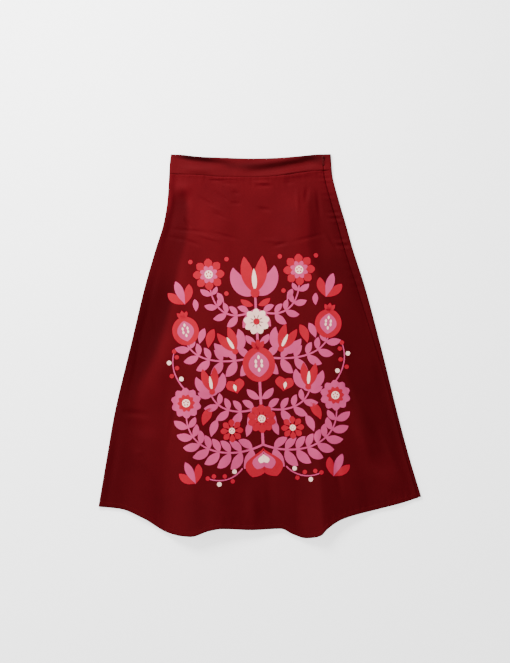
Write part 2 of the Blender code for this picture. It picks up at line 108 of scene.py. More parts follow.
# Height of the upper layer of cloth where nothing folds: share of the way down, height, dome
LAY = (
    (0.0, 5.7, 2.0),
    (0.1, 5.2, 2.0),
    (0.5, 4.8, 3.4),
    (1.0, 5.6, 2.6),
)
BAND_LAY = 6.0
BAND_DOME = 2.4
DOME_POWER = 3.0

# The roll of a folded edge fades over this distance, and the wall thickens from this share to the hem
EDGE_BLEND = 9.0
THICKENS_FROM = 0.75

# How gently a height is kept above a layer below it, for the form and for the fine form
EASE = 0.6
FINE_EASE = 0.3

# Folds that grow down to the hem: across, drop at the start and at the hem, rise, then the width of
# the left and of the right flank at the start and at the hem, and the share of them that the crest rounds
FLUTES = {
    "left flute": ((-152, 380), (-107, 805), 24.0, (30, 80), (60, 170), 0.3),
    "right flute": ((124, 380), (153, 806), 20.0, (26, 60), (40, 110), 0.08),
}

# How fast a flute's height grows towards the hem, and how its left and right flanks fall from the crest
FLUTE_GROWTH = 1.3
FLANK_POWERS = (1.6, 1.2)

# Soft swells and hollows with two quiet ends: across, drop at each end, rise, half width
SWELLS = {
    "left hollow": ((-208, 284), (-267, 547), -3.0, 40),
    "left swell": ((-153, 337), (-239, 568), 4.5, 45),
    "left dimple": ((-267, 553), (-195, 593), -2.5, 22),
    "right hollow": ((233, 368), (288, 662), -3.0, 45),
    "right streak": ((204, 505), (274, 662), 4.0, 28),
    "upper left ridge": ((-97, 58), (-101, 226), 2.0, 30),
    "upper left trough": ((-143, 66), (-149, 148), -1.8, 24),
    "left side hollow": ((-134, 70), (-206, 440), -2.4, 34),
    "upper right ridge": ((104, 46), (112, 290), 4.0, 42),
    "upper right trough": ((138, 58), (158, 260), -2.2, 28),
}
BAND_SWELLS = {
    "top edge at the left": ((-178, -4), (-25, 13.5), 6.0, 12),
    "top edge in the middle": ((-60, 8), (60, 8), 1.6, 10),
    "long ridge": ((150, -2), (-40, 29), 3.4, 15),
    "top edge at the right": ((146, -3), (46, 14), 3.4, 15),
    "long valley": ((150, 17), (-40, 42), -3.0, 14),
    "deeper at the right": ((146, 17), (50, 31), -2.0, 13),
    "lip above the seam": ((150, 25), (30, 46), 2.4, 9),
    "left swell": ((-162, 30), (-58, 36), 2.2, 12),
}

# Finer creases that only the cloth's surface has, in the same columns
CREASES = {
    "fold under the band": ((-2, 58.5), (50, 60), 2.4, 5),
    "below that fold": ((2, 66), (48, 67), -1.8, 5),
    "wrinkle under the band 1": ((-99, 54), (-48, 57), -1.6, 3.5),
    "wrinkle under the band 2": ((-78, 59.5), (-18, 62.5), -1.6, 3.5),
    "wrinkle under the band 3": ((-92, 49.5), (-22, 51.5), 1.2, 3),
    "wrinkle under the band 4": ((58, 62), (96, 58), -1.2, 4),
    "ridge at the left": ((-172, 75), (-116, 70), 3.0, 17),
    "hollow below it": ((-168, 100), (-118, 96), -2.0, 16),
    "pull line 1": ((-118, 84), (-68, 117), -1.9, 5),
    "pull line 2": ((-84, 72), (-38, 108), -1.6, 5),
    "pull line 3": ((-90, 119), (-42, 139), -1.6, 4.5),
    "pull line 4": ((-100, 100), (-54, 126), 1.2, 5),
    "press mark 1": ((-49, 102), (-18, 104), -2.0, 4),
    "press mark 2": ((8, 112), (46, 119), -2.3, 6),
    "press mark 3": ((-46, 78), (-20, 84), -1.6, 5),
    "short crease at the left": ((-144, 130), (-122, 163), -2.4, 6),
    "long line 1": ((-186, 155), (-74, 166), -2.0, 4.5),
    "long line 2": ((-92, 162), (-16, 182), -1.9, 4.5),
    "long line 3": ((-122, 165), (-56, 184), 2.0, 4),
    "long line 4": ((-182, 171), (-134, 181), -2.3, 4.5),
    "long line 5": ((-148, 176), (-102, 194), -2.3, 4.5),
    "long line right 1": ((38, 194), (82, 184), -2.3, 5),
    "long line right 2": ((70, 188), (168, 163), -1.6, 5),
    "long line right 3": ((12, 179), (70, 183), 1.2, 5),
    "trough beside the zip": ((118, 60), (113, 108), -2.2, 8),
    "second trough beside the zip": ((136, 62), (146, 150), -1.8, 7),
    "pale streak at the right": ((95, 60), (98, 135), 1.2, 7),
    "slant below the zip": ((150, 150), (190, 216), -1.7, 6),
    "crease left of the print": ((-214, 300), (-190, 420), -1.8, 9),
    "end of the left swell": ((-282, 540), (-206, 548), -2.7, 10),
    "mark below the left swell": ((-246, 622), (-224, 628), 1.8, 7),
    "crease to the left flute": ((-150, 470), (-178, 640), -1.7, 10),
    "drag line low left": ((-262, 600), (-196, 690), 1.4, 9),
    "drag line right": ((170, 420), (232, 560), -1.8, 9),
    "streak right": ((214, 560), (262, 658), 2.2, 12),
    "drag line low right": ((262, 560), (318, 690), 1.5, 9),
    "crease beyond the right flute": ((170, 600), (192, 745), -2.0, 11),
    "soft ridge low middle": ((-8, 690), (14, 790), 2.7, 22),
    "soft trough low middle": ((34, 650), (44, 780), -1.4, 15),
    "rise under the band's lip": ((36, 50), (150, 37), 2.0, 10),
    "ridge along the left fold": ((-203, 236), (-285, 590), 2.4, 8),
    "streak low right": ((222, 640), (316, 716), 2.8, 22),
    "hollow above that streak": ((236, 610), (330, 690), -1.6, 16),
    "broad ridge left of the middle": ((-72, 66), (-80, 270), 3.0, 46),
    "broad ridge right of the middle": ((82, 60), (90, 262), 2.6, 50),
}

# Ripples that a row of stitches draws up: start and end along it, height, wave length
ZIP_PUCKERS = (
    (40, 64, 1.2, 13.0),
    (70, 104, 0.7, 15.0),
    (112, 150, 1.5, 14.0),
    (172, 204, 1.7, 13.0),
    (214, 300, 0.6, 19.0),
)
HEM_PUCKERS = (
    (-318, -240, 0.45, 12.0),
    (-236, -150, 0.3, 15.0),
    (-100, 60, 0.35, 17.0),
    (150, 262, 0.5, 13.0),
    (256, 350, 1.0, 13.0),
)
BAND_PUCKERS = ((-30, 60, 0.35, 13.0),)

# How far the ripples reach from the stitches, how square their two ends are, and how their waves drift:
# how far, in radians, and how often
ZIP_PUCKER_REACH = 13
HEM_PUCKER_REACH = 11
BAND_PUCKER_REACH = 9
PUCKER_END_POWER = 0.7
PUCKER_DRIFT = (0.9, 0.9)

# Gathers under the waist seam, each within these ranges
GATHERS = 34
GATHER_SEED = 5
GATHER_PLACES = (-158, 150)
GATHER_JITTER = 4
GATHER_LENGTHS = (9, 26)
GATHER_RISES = (0.1, 0.5)
GATHER_WIDTHS = (3.0, 6.5)
GATHER_LEAN = 0.25

# Broad quiet waves in the cloth, each within these ranges
UNDULATIONS = 9
UNDULATION_SEED = 12
WAVES_ACROSS = (60, 170)
WAVES_DOWN = (260, 800)
WAVE_RISES = (0.18, 0.45)

# The waistband's waves: their share of the height, how much shorter across, from where, and down
BAND_WAVES = (0.5, 1.3, 40, 3)

# Side troughs just inside the folded edges: distance in, depth, width. Their depth varies by waves of
# this share and length round a mean share, and the right side's waves start elsewhere
SIDE_TROUGH = (16.0, 1.5, 7.5)
TROUGH_MEAN = 0.75
TROUGH_WAVES = ((0.35, 47), (0.2, 19))
TROUGH_SHIFT = 40.0

# Relief at the seams and hems: height, width, or for a raised strip height, where it ends, how softly
SEAM_DITCH = (-0.7, 1.0)
SEAM_ALLOWANCE = (0.45, 8, 3)
SEAM_STITCHING = (-0.35, 0.9)
HEM_ALLOWANCE = (0.35, HEM_DEPTH + 1, 1.5)
HEM_STITCHING = (-0.5, 1.3)
HEM_EDGE = (-0.5, 1.2)
BAND_SEAM_DITCH = (-0.6, 1.0)
BAND_EDGE = (-0.8, 1.3)

# Painted shade in a strip along each side: drop, how far in the strip ends, over what width it ends and
# how much shade is painted, painted light where negative. Towards the hem more shade is painted everywhere
SIDE_PAINTED_SHADE = {
    "left": (
        (60, 30, 12, 0.0), (106, 43, 14, 0.66), (148, 51, 14, 0.58), (190, 59, 14, 0.62),
        (232, 60, 16, 0.58), (305, 65, 18, 0.84), (410, 59, 24, 0.76), (515, 38, 36, 0.52),
        (620, 56, 70, 0.34), (740, 70, 90, 0.24),
    ),
    "right": (
        (60, 54, 20, 0.0), (106, 68, 14, 0.42), (148, 77, 14, 0.40), (190, 91, 14, 0.36),
        (232, 93, 16, 0.54), (305, 94, 22, 0.40), (410, 92, 26, 0.44), (515, 92, 34, 0.42),
        (620, 84, 60, 0.18), (680, 90, 80, -0.08), (740, 90, 80, -0.2),
    ),
}
# Painted shade that grows towards the hem everywhere
HEM_PAINTED_SHADE = 0.3

# Painted light on the left fold's outermost strip near its top, taking painted shade away: drop, half its
# length, width, how much lighter
LEFT_RIM_PAINTED_LIGHT = (100.0, 34.0, 9.0, 0.9)

# Painted shade runs along the waistband from its top edge at the left to its top edge at the right:
# across, drop of its middle, half width, how much shade is painted
BAND_PAINTED_SHADE = (
    (-166, 3, 9, 0.1), (-150, 4, 10, 0.55), (-132, 6, 11, 0.95), (-104, 9, 12, 0.8),
    (-70, 14, 13, 0.42), (-34, 24, 13, 0.36), (10, 26, 13, 0.54), (62, 20, 14, 0.5),
    (94, 12, 16, 0.4), (118, 7, 12, 0.8), (142, 8, 18, 0.5), (160, 6, 16, 0.2),
)

# Cloth shells: thickness, the slit's half width, how far the cloth turns down into the slit and into the
# seam below it, over what width, and how narrow the slit is where one becomes the other
CLOTH = 0.8
HEM_CLOTH = 1.5
HEM_CLOTH_DEPTH = 11.5
BAND_CLOTH = 1.9
SLIT_HALF = 0.4
SLIT_LIP = 1.0
SEAM_LIP = 0.9
LIP_WIDTH = 1.1
SEAM_FROM_HALF = 0.24

# A shell's rim bulges by this share of its wall, and its thickness grows at most so much on a slope
RIM_BULGE = 0.35
MOST_STRETCH = 1.8

# Angles on the rolled edges, and how far from level the cloth starts beside the left seam
LEVEL = 180
UP = 90
DOWN = 270
SEAM_TURN = 6

# Where the columns of points lie closer together across a front cloth: how much more, place, width
CLOSER = ((0.5, 0.27, 0.1), (1.3, 0.66, 0.07), (6, 1.0, 0.008))
CLOSER_SAMPLES = 2000
PANEL_COLUMNS = 186
BAND_COLUMNS = 150
BACK_COLUMNS = 34

# The back cloth's strip beside the zip: columns, how they crowd, and how far the fold's roll reaches
BACK_STRIP_COLUMNS = 12
BACK_STRIP_POWER = 0.8
BACK_STRIP_BLEND = 2.5

# Rows of points on a panel, from the waist seam down and from the hem up: first, last, step
WAIST_ROWS = (0, 9, 1)
ZIP_ROWS = (11.5, 190, 2.8)
LOWER_ROWS_FROM = 194
LOWER_ROWS_STEP = 4.2
LOWER_ROWS_ABOVE_HEM = 16
HEM_ROWS = (14, 0, 1.17)

# Rows of points on a waistband: first and last share, count
BAND_ROWS = ((0, 0.08, 5), (0.12, 0.9, 18), (0.93, 1, 4))

# Stitches
STITCH_LENGTH = 2.7
STITCH_PITCH = 3.3
STITCH_MARGIN = 0.6
STITCH_RADIUS = 0.19
STITCH_LIFT = 0.06
STITCH_CAST_HEIGHT = 100.0
WAIST_STITCH_BELOW_SEAM = 5.0
HEM_STITCH_ABOVE_EDGE = 10.5

# The stitched lines: first and last place, across or as q, and points on the way
WAIST_STITCHES = (-168, 150, 400)
HEM_STITCHES = (0.008, 0.985, 900)

# A capsule's rings: share of its length, share of its radius
CAPSULE = ((0.0, 0.35), (0.16, 0.9), (0.5, 1.0), (0.84, 0.9), (1.0, 0.35))

# The zip: shares between which its line is read in the band and from where in the panel, with points,
# then the tape's depth under the cloth and its section: across, up
ZIP_IN_BAND = (0.04, 1, 24)
ZIP_IN_PANEL_FROM = 0.004
ZIP_IN_PANEL_POINTS = 60
TAPE_DEPTH = 2.2
TAPE_SECTION = (
    (-1.5, 0.0), (-1.3, 0.35), (0.0, 0.45), (1.3, 0.35),
    (1.5, 0.0), (1.3, -0.35), (0.0, -0.4), (-1.3, -0.35),
)

# The coil on the tape: height, start, pitch, direction of a turn and its reach inwards and outwards
COIL_HEIGHT = 0.7
COIL_START = 2
COIL_PITCH = 1.1
COIL_TURN = (1.0, 0.18, 0.0)
COIL_REACH = (0.35, 1.0)
COIL_RADIUS = 0.32

# The slider and the pull tab: how close points are joined, what counts as flat, and the rounded edges
WELD = 0.01
FLAT_DEG = 3
ROUNDING = 0.22
ROUNDING_STEPS = 3
ROUNDING_FROM_DEG = 35


# Form


def curve_value(knots, at):
    """The smooth curve through the knots. It stays monotone between them, so it never overshoots."""
    x, y = np.array(knots, float).T
    at = np.clip(np.asarray(at, float), x[0], x[-1])
    step = np.diff(x)
    slope = np.diff(y) / step
    turns = slope[:-1] * slope[1:] <= 0
    before = np.where(turns, 1.0, slope[:-1])
    after = np.where(turns, 1.0, slope[1:])
    weight_before = 2 * step[1:] + step[:-1]
    weight_after = step[1:] + 2 * step[:-1]
    inner = (weight_before + weight_after) / (weight_before / before + weight_after / after)
    tangent = np.concatenate([[slope[0]], np.where(turns, 0.0, inner), [slope[-1]]])
    i = np.clip(np.searchsorted(x, at, side="right") - 1, 0, len(step) - 1)
    t = (at - x[i]) / step[i]
    return (
        (1 + 2 * t) * (1 - t) ** 2 * y[i]
        + t * (1 - t) ** 2 * step[i] * tangent[i]
        + t * t * (3 - 2 * t) * y[i + 1]
        + t * t * (t - 1) * step[i] * tangent[i + 1]
    )


def column_value(table, column, at):
    """The smooth curve through one column of a table, whose first column says where."""
    return curve_value([(row[0], row[column]) for row in table], at)


def left_edge(drop):
    return column_value(SIDES, 1, drop)


def right_edge(drop):
    return column_value(SIDES, 2, drop)


def smooth(t):
    t = np.clip(t, 0, 1)
    return t * t * (3 - 2 * t)


def bell(distance, width):
    return np.exp(-((distance / width) ** 2))


def hump(distance, width):
    return 0.5 + 0.5 * np.cos(math.pi * np.clip(np.abs(distance) / width, 0, 1))


LEFT_CORNER = FRONT_HEM[0]
RIGHT_CORNER = FRONT_HEM[-1]
PANEL_LENGTH = RIGHT_CORNER[1] - WAIST_SEAM[-1][1]
CENTRE_ACROSS = float(left_edge(LEFT_CORNER[1]) + right_edge(RIGHT_CORNER[1])) / 2
CENTRE_DROP = max(drop for across, drop in FRONT_HEM) / 2


def to_world(across, drop, height):
    """Plan millimetres to metres in the frame."""
    return np.stack(
        np.broadcast_arrays(
            (np.asarray(across) - CENTRE_ACROSS) * MM,
            (CENTRE_DROP - np.asarray(drop)) * MM,
            np.asarray(height) * MM,
        ),
        axis=-1,
    )


def across_at(knots, q):
    """Where q lies between the first knot and the last."""
    return knots[0][0] + (knots[-1][0] - knots[0][0]) * q


def q_at(across, left, right):
    return (across - left) / (right - left)


def along_fold(across, drop, start, end):
    """(share of the way along the fold's line, distance to the right of it)."""
    line = np.subtract(end, start)
    length = math.hypot(*line)
    right = np.array([line[1], -line[0]]) / length
    dx, dy = across - start[0], drop - start[1]
    return (dx * line[0] + dy * line[1]) / length**2, dx * right[0] + dy * right[1]


def flank_share(distance, width, crest, power):
    """Share of a flute's height at this distance from its crest: steepest beside it, with a quiet foot."""
    whole = math.hypot(1, crest) - crest
    out = (np.hypot(np.clip(np.abs(distance) / width, 0, 1), crest) - crest) / whole
    return np.clip(1 - out, 0, 1) ** power


def flute_height(across, drop):
    total = 0.0
    for start, end, rise, left, right, crest in FLUTES.values():
        t, distance = along_fold(across, drop, start, end)
        t = np.clip(t, 0, 1)
        flanks = [
            flank_share(distance, widths[0] + (widths[1] - widths[0]) * t, crest, power)
            for widths, power in zip((left, right), FLANK_POWERS)
        ]
        total = total + rise * t**FLUTE_GROWTH * np.where(distance < 0, *flanks)
    return total


def swell_height(swells, across, drop):
    total = 0.0
    for start, end, rise, width in swells.values():
        t, distance = along_fold(across, drop, start, end)
        total = total + rise * np.sin(math.pi * np.clip(t, 0, 1)) ** 2 * hump(distance, width)
    return total


def kept_above(height, least, ease=EASE):
    """The height, eased so that it never comes under the least one."""
    return least + ease * np.logaddexp(0, (height - least) / ease)


def over_edges(height, roll, from_left, from_right):
    """The height near the two folded side edges, where the cloth rises into their roll."""
    for inward in (from_left, from_right):
        nearness = bell(np.maximum(inward - roll, 0), EDGE_BLEND)
        height = height + (2 * roll - height) * nearness
    return height


def dome(q):
    return 1 - np.abs(2 * q - 1) ** DOME_POWER


def panel_edges(share):
    """Left and right edge of the laid panels."""
    left_drop = WAIST_SEAM[0][1] + (LEFT_CORNER[1] - WAIST_SEAM[0][1]) * share
    right_drop = WAIST_SEAM[-1][1] + (RIGHT_CORNER[1] - WAIST_SEAM[-1][1]) * share
    return left_edge(left_drop), right_edge(right_drop)


def panel_drop(q, share, front=True):
    at_waist = curve_value(WAIST_SEAM, across_at(WAIST_SEAM, q)) + SEAM_GAP
    across = across_at(FRONT_HEM, q)
    at_hem = curve_value(BACK_HEM, across)
    dip = curve_value(FRONT_HEM, across) - at_hem if front else 0.0
    return at_waist * (1 - share) + at_hem * share + share**HEM_DIP_POWER * dip


def panel_share(across, drop, rounds=8):
    """The share of the way down the front panel on which a point of the plan lies, in a few rounds."""
    share = np.clip((drop - WAIST_SEAM[0][1]) / PANEL_LENGTH, 0, 1)
    for _ in range(rounds):
        q = np.clip(q_at(across, *panel_edges(share)), 0, 1)
        at_waist = panel_drop(q, 0.0)
        whole = panel_drop(q, 1.0, front=False) - at_waist
        dip = panel_drop(q, share) - panel_drop(q, share, front=False)
        share = np.clip((drop - at_waist - dip) / whole, 0, 1)
    return share


def panel_inset(share):
    """How far the side seam lies from the right edge."""
    start, length = SEAM_SHIFT
    return ZIP_INSET + (SEAM_INSET_AT_HEM - ZIP_INSET) * smooth((share - start) / length)


def band_drop(q, share):
    top = curve_value(TOP_EDGE, across_at(TOP_EDGE, q))
    seam = curve_value(WAIST_SEAM, across_at(WAIST_SEAM, q))
    return top + (seam - top) * share


def band_edges(share):
    return left_edge(band_drop(0.0, share)), right_edge(band_drop(1.0, share))


def band_inset(share):
    return ZIP_INSET + 0 * share


# Fine form of the cloth


def make_gathers():
    """Short ridges under the waist seam: place across, length, height, half width, lean."""
    dice = np.random.default_rng(GATHER_SEED)
    place = np.linspace(*GATHER_PLACES, GATHERS) + dice.uniform(-GATHER_JITTER, GATHER_JITTER, GATHERS)
    length = dice.uniform(*GATHER_LENGTHS, GATHERS)
    rise = dice.uniform(*GATHER_RISES, GATHERS) * dice.choice([-1, 1], GATHERS)
    width = dice.uniform(*GATHER_WIDTHS, GATHERS)
    lean = dice.uniform(-GATHER_LEAN, GATHER_LEAN, GATHERS)
    return np.stack([place, length, rise, width, lean], axis=1)


def make_undulations():
    """Broad quiet waves in the cloth: wave numbers across and down, phase, height."""
    dice = np.random.default_rng(UNDULATION_SEED)
    wave_across = 2 * math.pi / dice.uniform(*WAVES_ACROSS, UNDULATIONS)
    wave_down = 2 * math.pi / dice.uniform(*WAVES_DOWN, UNDULATIONS) * dice.choice([-1, 1], UNDULATIONS)
    phase = dice.uniform(0, 2 * math.pi, UNDULATIONS)
    rise = dice.uniform(*WAVE_RISES, UNDULATIONS)
    return np.stack([wave_across, wave_down, phase, rise], axis=1)


GATHER_TABLE = make_gathers()
UNDULATION_TABLE = make_undulations()


def gather_height(across, below_seam):
    total = 0.0
    for place, length, rise, width, lean in GATHER_TABLE:
        fade = bell(below_seam, length)
        total = total + rise * fade * hump(across - place - lean * below_seam, width)
    return total


def undulation_height(across, drop):
    total = 0.0
    for wave_across, wave_down, phase, rise in UNDULATION_TABLE:
        total = total + rise * np.sin(wave_across * across + wave_down * drop + phase)
    return total


def pucker_height(table, along, away, reach):
    """Ripples across a stitched line. along is the place on the line, away the distance from it."""
    total = 0.0
    drift_by, drift_rate = PUCKER_DRIFT
    for start, end, rise, wave in table:
        t = np.clip((along - start) / (end - start), 0, 1)
        swelling = np.sin(math.pi * t) ** PUCKER_END_POWER
        drift = drift_by * np.sin(along / wave * drift_rate + start)
        total = total + rise * swelling * np.sin(2 * math.pi * along / wave + drift)
    return total * bell(away, reach)


def side_trough(inward, drop, shift):
    """Depth of the trough just inside a folded side edge."""
    trough_in, depth, width = SIDE_TROUGH
    unevenness = TROUGH_MEAN
    for share, length in TROUGH_WAVES:
        unevenness = unevenness + share * np.sin(drop / length + shift)
    return depth * unevenness * bell(inward - trough_in, width)


def ridge(distance, height, width):
    """A ridge, or a ditch where the height is negative."""
    return height * bell(distance, width)


def raised_strip(distance, height, reach, width):
    return height * smooth((reach - distance) / width)


def waist_seam_relief(below_seam):
    """A ditch at the seam, the raised seam allowance below it and the dent of its row of stitches."""
    dent = ridge(below_seam - WAIST_STITCH_BELOW_SEAM, *SEAM_STITCHING)
    return ridge(below_seam, *SEAM_DITCH) + raised_strip(below_seam, *SEAM_ALLOWANCE) + dent


def hem_relief(above_hem):
    """The turned-up hem stands a little proud, its row of stitches is drawn in and its edge is round."""
    dent = ridge(above_hem - HEM_STITCH_ABOVE_EDGE, *HEM_STITCHING)
    return raised_strip(above_hem, *HEM_ALLOWANCE) + dent + ridge(above_hem, *HEM_EDGE)


def front_height(across, drop, share):
    """Height of the front cloth's outer face."""
    left, right = panel_edges(share)
    q = np.clip(q_at(across, left, right), 0, 1)
    below_seam = drop - panel_drop(q, 0.0)
    above_hem = panel_drop(q, 1.0) - drop
    from_left, from_right = across - left, right - across
    height = column_value(LAY, 1, share) + column_value(LAY, 2, share) * dome(q)
    height = height + flute_height(across, drop) + swell_height(SWELLS, across, drop)
    height = height + swell_height(CREASES, across, drop) + undulation_height(across, drop)
    wall = PANEL_WALL + (HEM_WALL - PANEL_WALL) * smooth((share - THICKENS_FROM) / (1 - THICKENS_FROM))
    height = kept_above(height, 2 * wall + SEAM_GAP)
    height = over_edges(height, PANEL_ROLL, from_left, from_right)
    height = height - side_trough(from_left, drop, 0.0) - side_trough(from_right, drop, TROUGH_SHIFT)
    height = height + pucker_height(ZIP_PUCKERS, drop, from_right - panel_inset(share), ZIP_PUCKER_REACH)
    from_stitches = above_hem - HEM_STITCH_ABOVE_EDGE
    height = height + pucker_height(HEM_PUCKERS, across, from_stitches, HEM_PUCKER_REACH)
    height = height + gather_height(across, np.maximum(below_seam, 0))
    height = kept_above(height, 2 * PANEL_WALL + SEAM_GAP, FINE_EASE)
    return height + waist_seam_relief(below_seam) + hem_relief(above_hem)


def band_height(across, drop, share):
    """Height of the front waistband's outer face."""
    left, right = band_edges(share)
    q = np.clip(q_at(across, left, right), 0, 1)
    height = BAND_LAY + BAND_DOME * dome(q) + swell_height(BAND_SWELLS, across, drop)
    height = kept_above(height, 2 * BAND_WALL + SEAM_GAP)
    height = over_edges(height, BAND_ROLL, across - left, right - across)
    height = height + pucker_height(BAND_PUCKERS, drop, right - ZIP_INSET - across, BAND_PUCKER_REACH)
    height = height + ridge(band_drop(q, 1.0) - drop, *BAND_SEAM_DITCH)
    height = height + ridge(drop - band_drop(q, 0.0), *BAND_EDGE)
    wave_share, shorter_across, start, shorter_down = BAND_WAVES
    return height + wave_share * undulation_height(across * shorter_across + start, drop * shorter_down)


# Meshes


# One cloth: functions of the share for its edges, drops, heights and side seam, its roll, its columns
Cut = namedtuple("Cut", "edges drop_of height_of roll inset_of columns")
FRONT_PANEL = Cut(panel_edges, panel_drop, front_height, PANEL_ROLL, panel_inset, PANEL_COLUMNS)
BACK_PANEL = FRONT_PANEL._replace(drop_of=partial(panel_drop, front=False), columns=BACK_COLUMNS)
FRONT_BAND = Cut(band_edges, band_drop, band_height, BAND_ROLL, band_inset, BAND_COLUMNS)
BACK_BAND = FRONT_BAND._replace(columns=BACK_COLUMNS)


def spaced(start, end, step):
    return np.linspace(start, end, max(2, round(abs(end - start) / step) + 1))


def arc(centre, roll, first_deg, last_deg, step_deg=12):
    """Points of a folded edge: across, height, then their direction into the cloth."""
    angle = np.radians(spaced(first_deg, last_deg, step_deg))
    outwards, upwards = np.cos(angle), np.sin(angle)
    return np.stack([centre + roll * outwards, roll + roll * upwards, -outwards, -upwards])


def laid(across, height, side):
    """Points where the cloth lies. Its thickness goes straight up or down, more where it slopes."""
    stretch = np.minimum(np.hypot(1, np.gradient(height, across)), MOST_STRETCH)
    return np.stack([across, height, 0 * across, side * stretch])


def seam_end(left, roll, side):
    """The level edge of the left side seam."""
    half = SEAM_GAP / 2
    reach = math.sqrt(roll**2 - half**2)
    return np.array([[left + roll - reach], [roll + side * half], [1], [0]])


def spread(count):
    """Shares from 0 to 1 that lie closer together across the two flutes and at the slit."""
    q = np.linspace(0, 1, CLOSER_SAMPLES)
    density = 1.0
    for more, place, width in CLOSER:
        density = density + more * bell(q - place, width)
    filled = np.concatenate([[0], np.cumsum((density[1:] + density[:-1]) / 2)])
    return np.interp(np.linspace(0, filled[-1], count + 1), filled, q)


def joined(cut, share, parts):
    """One row of points from its parts, with the drop of each point."""
    points = np.concatenate(parts, axis=1)
    return np.vstack([points, cut.drop_of(q_at(points[0], *cut.edges(share)), share)])


def front_line(cut, share, half, lip_depth):
    """A row of a front cloth, from the left side seam over the fold to the slit."""
    left, right = cut.edges(share)
    start, end = left + cut.roll, right - cut.inset_of(share) - half
    flat = start + (end - start) * spread(cut.columns)
    height = cut.height_of(flat, cut.drop_of(q_at(flat, left, right), share), share)
    height = height - ridge(end - flat, lip_depth, LIP_WIDTH)
    parts = [
        seam_end(left, cut.roll, 1),
        arc(start, cut.roll, LEVEL - SEAM_TURN, UP),
        laid(flat, height, -1)[:, 1:],
    ]
    return joined(cut, share, parts)


def back_line(cut, share, half, lip_depth):
    """A row of a back cloth, from the left side seam under the skirt and round its right edge."""
    left, right = cut.edges(share)
    start, end = right - cut.roll, right - cut.inset_of(share) + half
    strip = start + (end - start) * np.linspace(0, 1, BACK_STRIP_COLUMNS) ** BACK_STRIP_POWER
    height = cut.height_of(strip, cut.drop_of(q_at(strip, left, right), share), share)
    height = height - ridge(strip - end, lip_depth, LIP_WIDTH)
    height = height + (2 * cut.roll - height) * bell(start - strip, BACK_STRIP_BLEND)
    under = np.linspace(left + cut.roll, start, cut.columns)[1:-1]
    parts = [
        seam_end(left, cut.roll, -1),
        arc(left + cut.roll, cut.roll, LEVEL + SEAM_TURN, DOWN),
        laid(under, 0 * under, 1),
        arc(start, cut.roll, DOWN, UP + 360),
        laid(strip, height, -1)[:, 1:],
    ]
    return joined(cut, share, parts)


def mesh_of(name, points, *face_groups):
    """A smooth mesh whose faces all look outwards."""
    mesh = bpy.data.meshes.new(name)
    mesh.from_pydata(points.tolist(), [], [face for group in face_groups for face in group.tolist()])
    facing = bmesh.new()
    facing.from_mesh(mesh)
    bmesh.ops.recalc_face_normals(facing, faces=facing.faces)
    facing.to_mesh(mesh)
    facing.free()
    mesh.shade_smooth()
    return mesh


def grid_faces(index):
    """The faces of a grid of point numbers."""
    return np.stack([index[:-1, :-1], index[1:, :-1], index[1:, 1:], index[:-1, 1:]], -1).reshape(-1, 4)


def grid_edge(index):
    """The point numbers round a grid."""
    return np.concatenate([index[0, :-1], index[:-1, -1], index[-1, :0:-1], index[:0:-1, 0]])


def ring_faces(first, second):
    """The faces between two rings of point numbers, or between several pairs of them."""
    return np.stack([first, np.roll(first, -1, -1), np.roll(second, -1, -1), second], -1).reshape(-1, 4)


def rim(edge, inside, bulge):
    """Points a little beyond the edge, on the side away from the inside."""
    away = edge - inside
    return edge + away / np.linalg.norm(away, axis=-1, keepdims=True) * bulge


def shell_mesh(name, lines, walls):
    """A closed thin shell through the lines, with rounded free edges."""
    lines = np.array(lines)
    across, height, in_across, in_height, drop = (lines[:, k] for k in range(5))
    wall = np.array(walls)[:, None]
    outer = to_world(across, drop, height)
    inner = to_world(across + wall * in_across, drop, height + wall * in_height)
    middle = (outer + inner) / 2
    bulge = RIM_BULGE * wall * MM
    top = rim(middle[0], middle[1], bulge[0])
    bottom = rim(middle[-1], middle[-2], bulge[-1])
    first = rim(middle[:, 0], middle[:, 1], bulge)
    last = rim(middle[:, -1], middle[:, -2], bulge)
    rim_points = np.concatenate([top[:-1], last[:-1], bottom[:0:-1], first[:0:-1]])
    points = np.concatenate([outer.reshape(-1, 3), inner.reshape(-1, 3), rim_points])
    face_out = np.arange(across.size).reshape(across.shape)
    face_in = face_out + across.size
    ring = 2 * across.size + np.arange(len(rim_points))
    sides = ring_faces(grid_edge(face_out), ring), ring_faces(ring, grid_edge(face_in))
    return mesh_of(name, points, grid_faces(face_out), grid_faces(face_in.T), *sides)


def tube_mesh(name, points):
    """Closed tubes through rings of points: tube, ring, point on the ring, then x, y and z."""
    index = np.arange(points[..., 0].size).reshape(points.shape[:-1])
    sides = ring_faces(index[:, :-1], index[:, 1:])
    return mesh_of(name, points.reshape(-1, 3), sides, index[:, 0, ::-1], index[:, -1])


def capsules(name, starts, ends, radius, sides=6):
    """Many small capsules in one mesh, each from a start to an end, in metres."""
    along = ends - starts
    direction = along / np.linalg.norm(along, axis=1, keepdims=True)
    side = np.cross(direction, [0, 0, 1.0])
    side = side / np.linalg.norm(side, axis=1, keepdims=True)
    up = np.cross(side, direction)
    angle = 2 * math.pi * np.arange(sides)[:, None] / sides
    ring = np.cos(angle) * side[:, None] + np.sin(angle) * up[:, None]
    t, share = np.array(CAPSULE).T[:, :, None, None]
    centre = starts[:, None, None] + along[:, None, None] * t
    return tube_mesh(name, centre + radius * share * ring[:, None])


def plan_of(mesh):
    """Across and drop of each of the mesh's points."""
    points = np.empty(3 * len(mesh.vertices))
    mesh.vertices.foreach_get("co", points)
    x, y, _ = points.reshape(-1, 3).T / MM
    return x + CENTRE_ACROSS, CENTRE_DROP - y


def store_painted_shade(mesh, painted_shade):
    """How much shade is painted at each point, as an attribute that the cloth's material reads."""
    layer = mesh.attributes.new("painted_shade", "FLOAT", "POINT")
    layer.data.foreach_set("value", painted_shade.astype(np.float32))
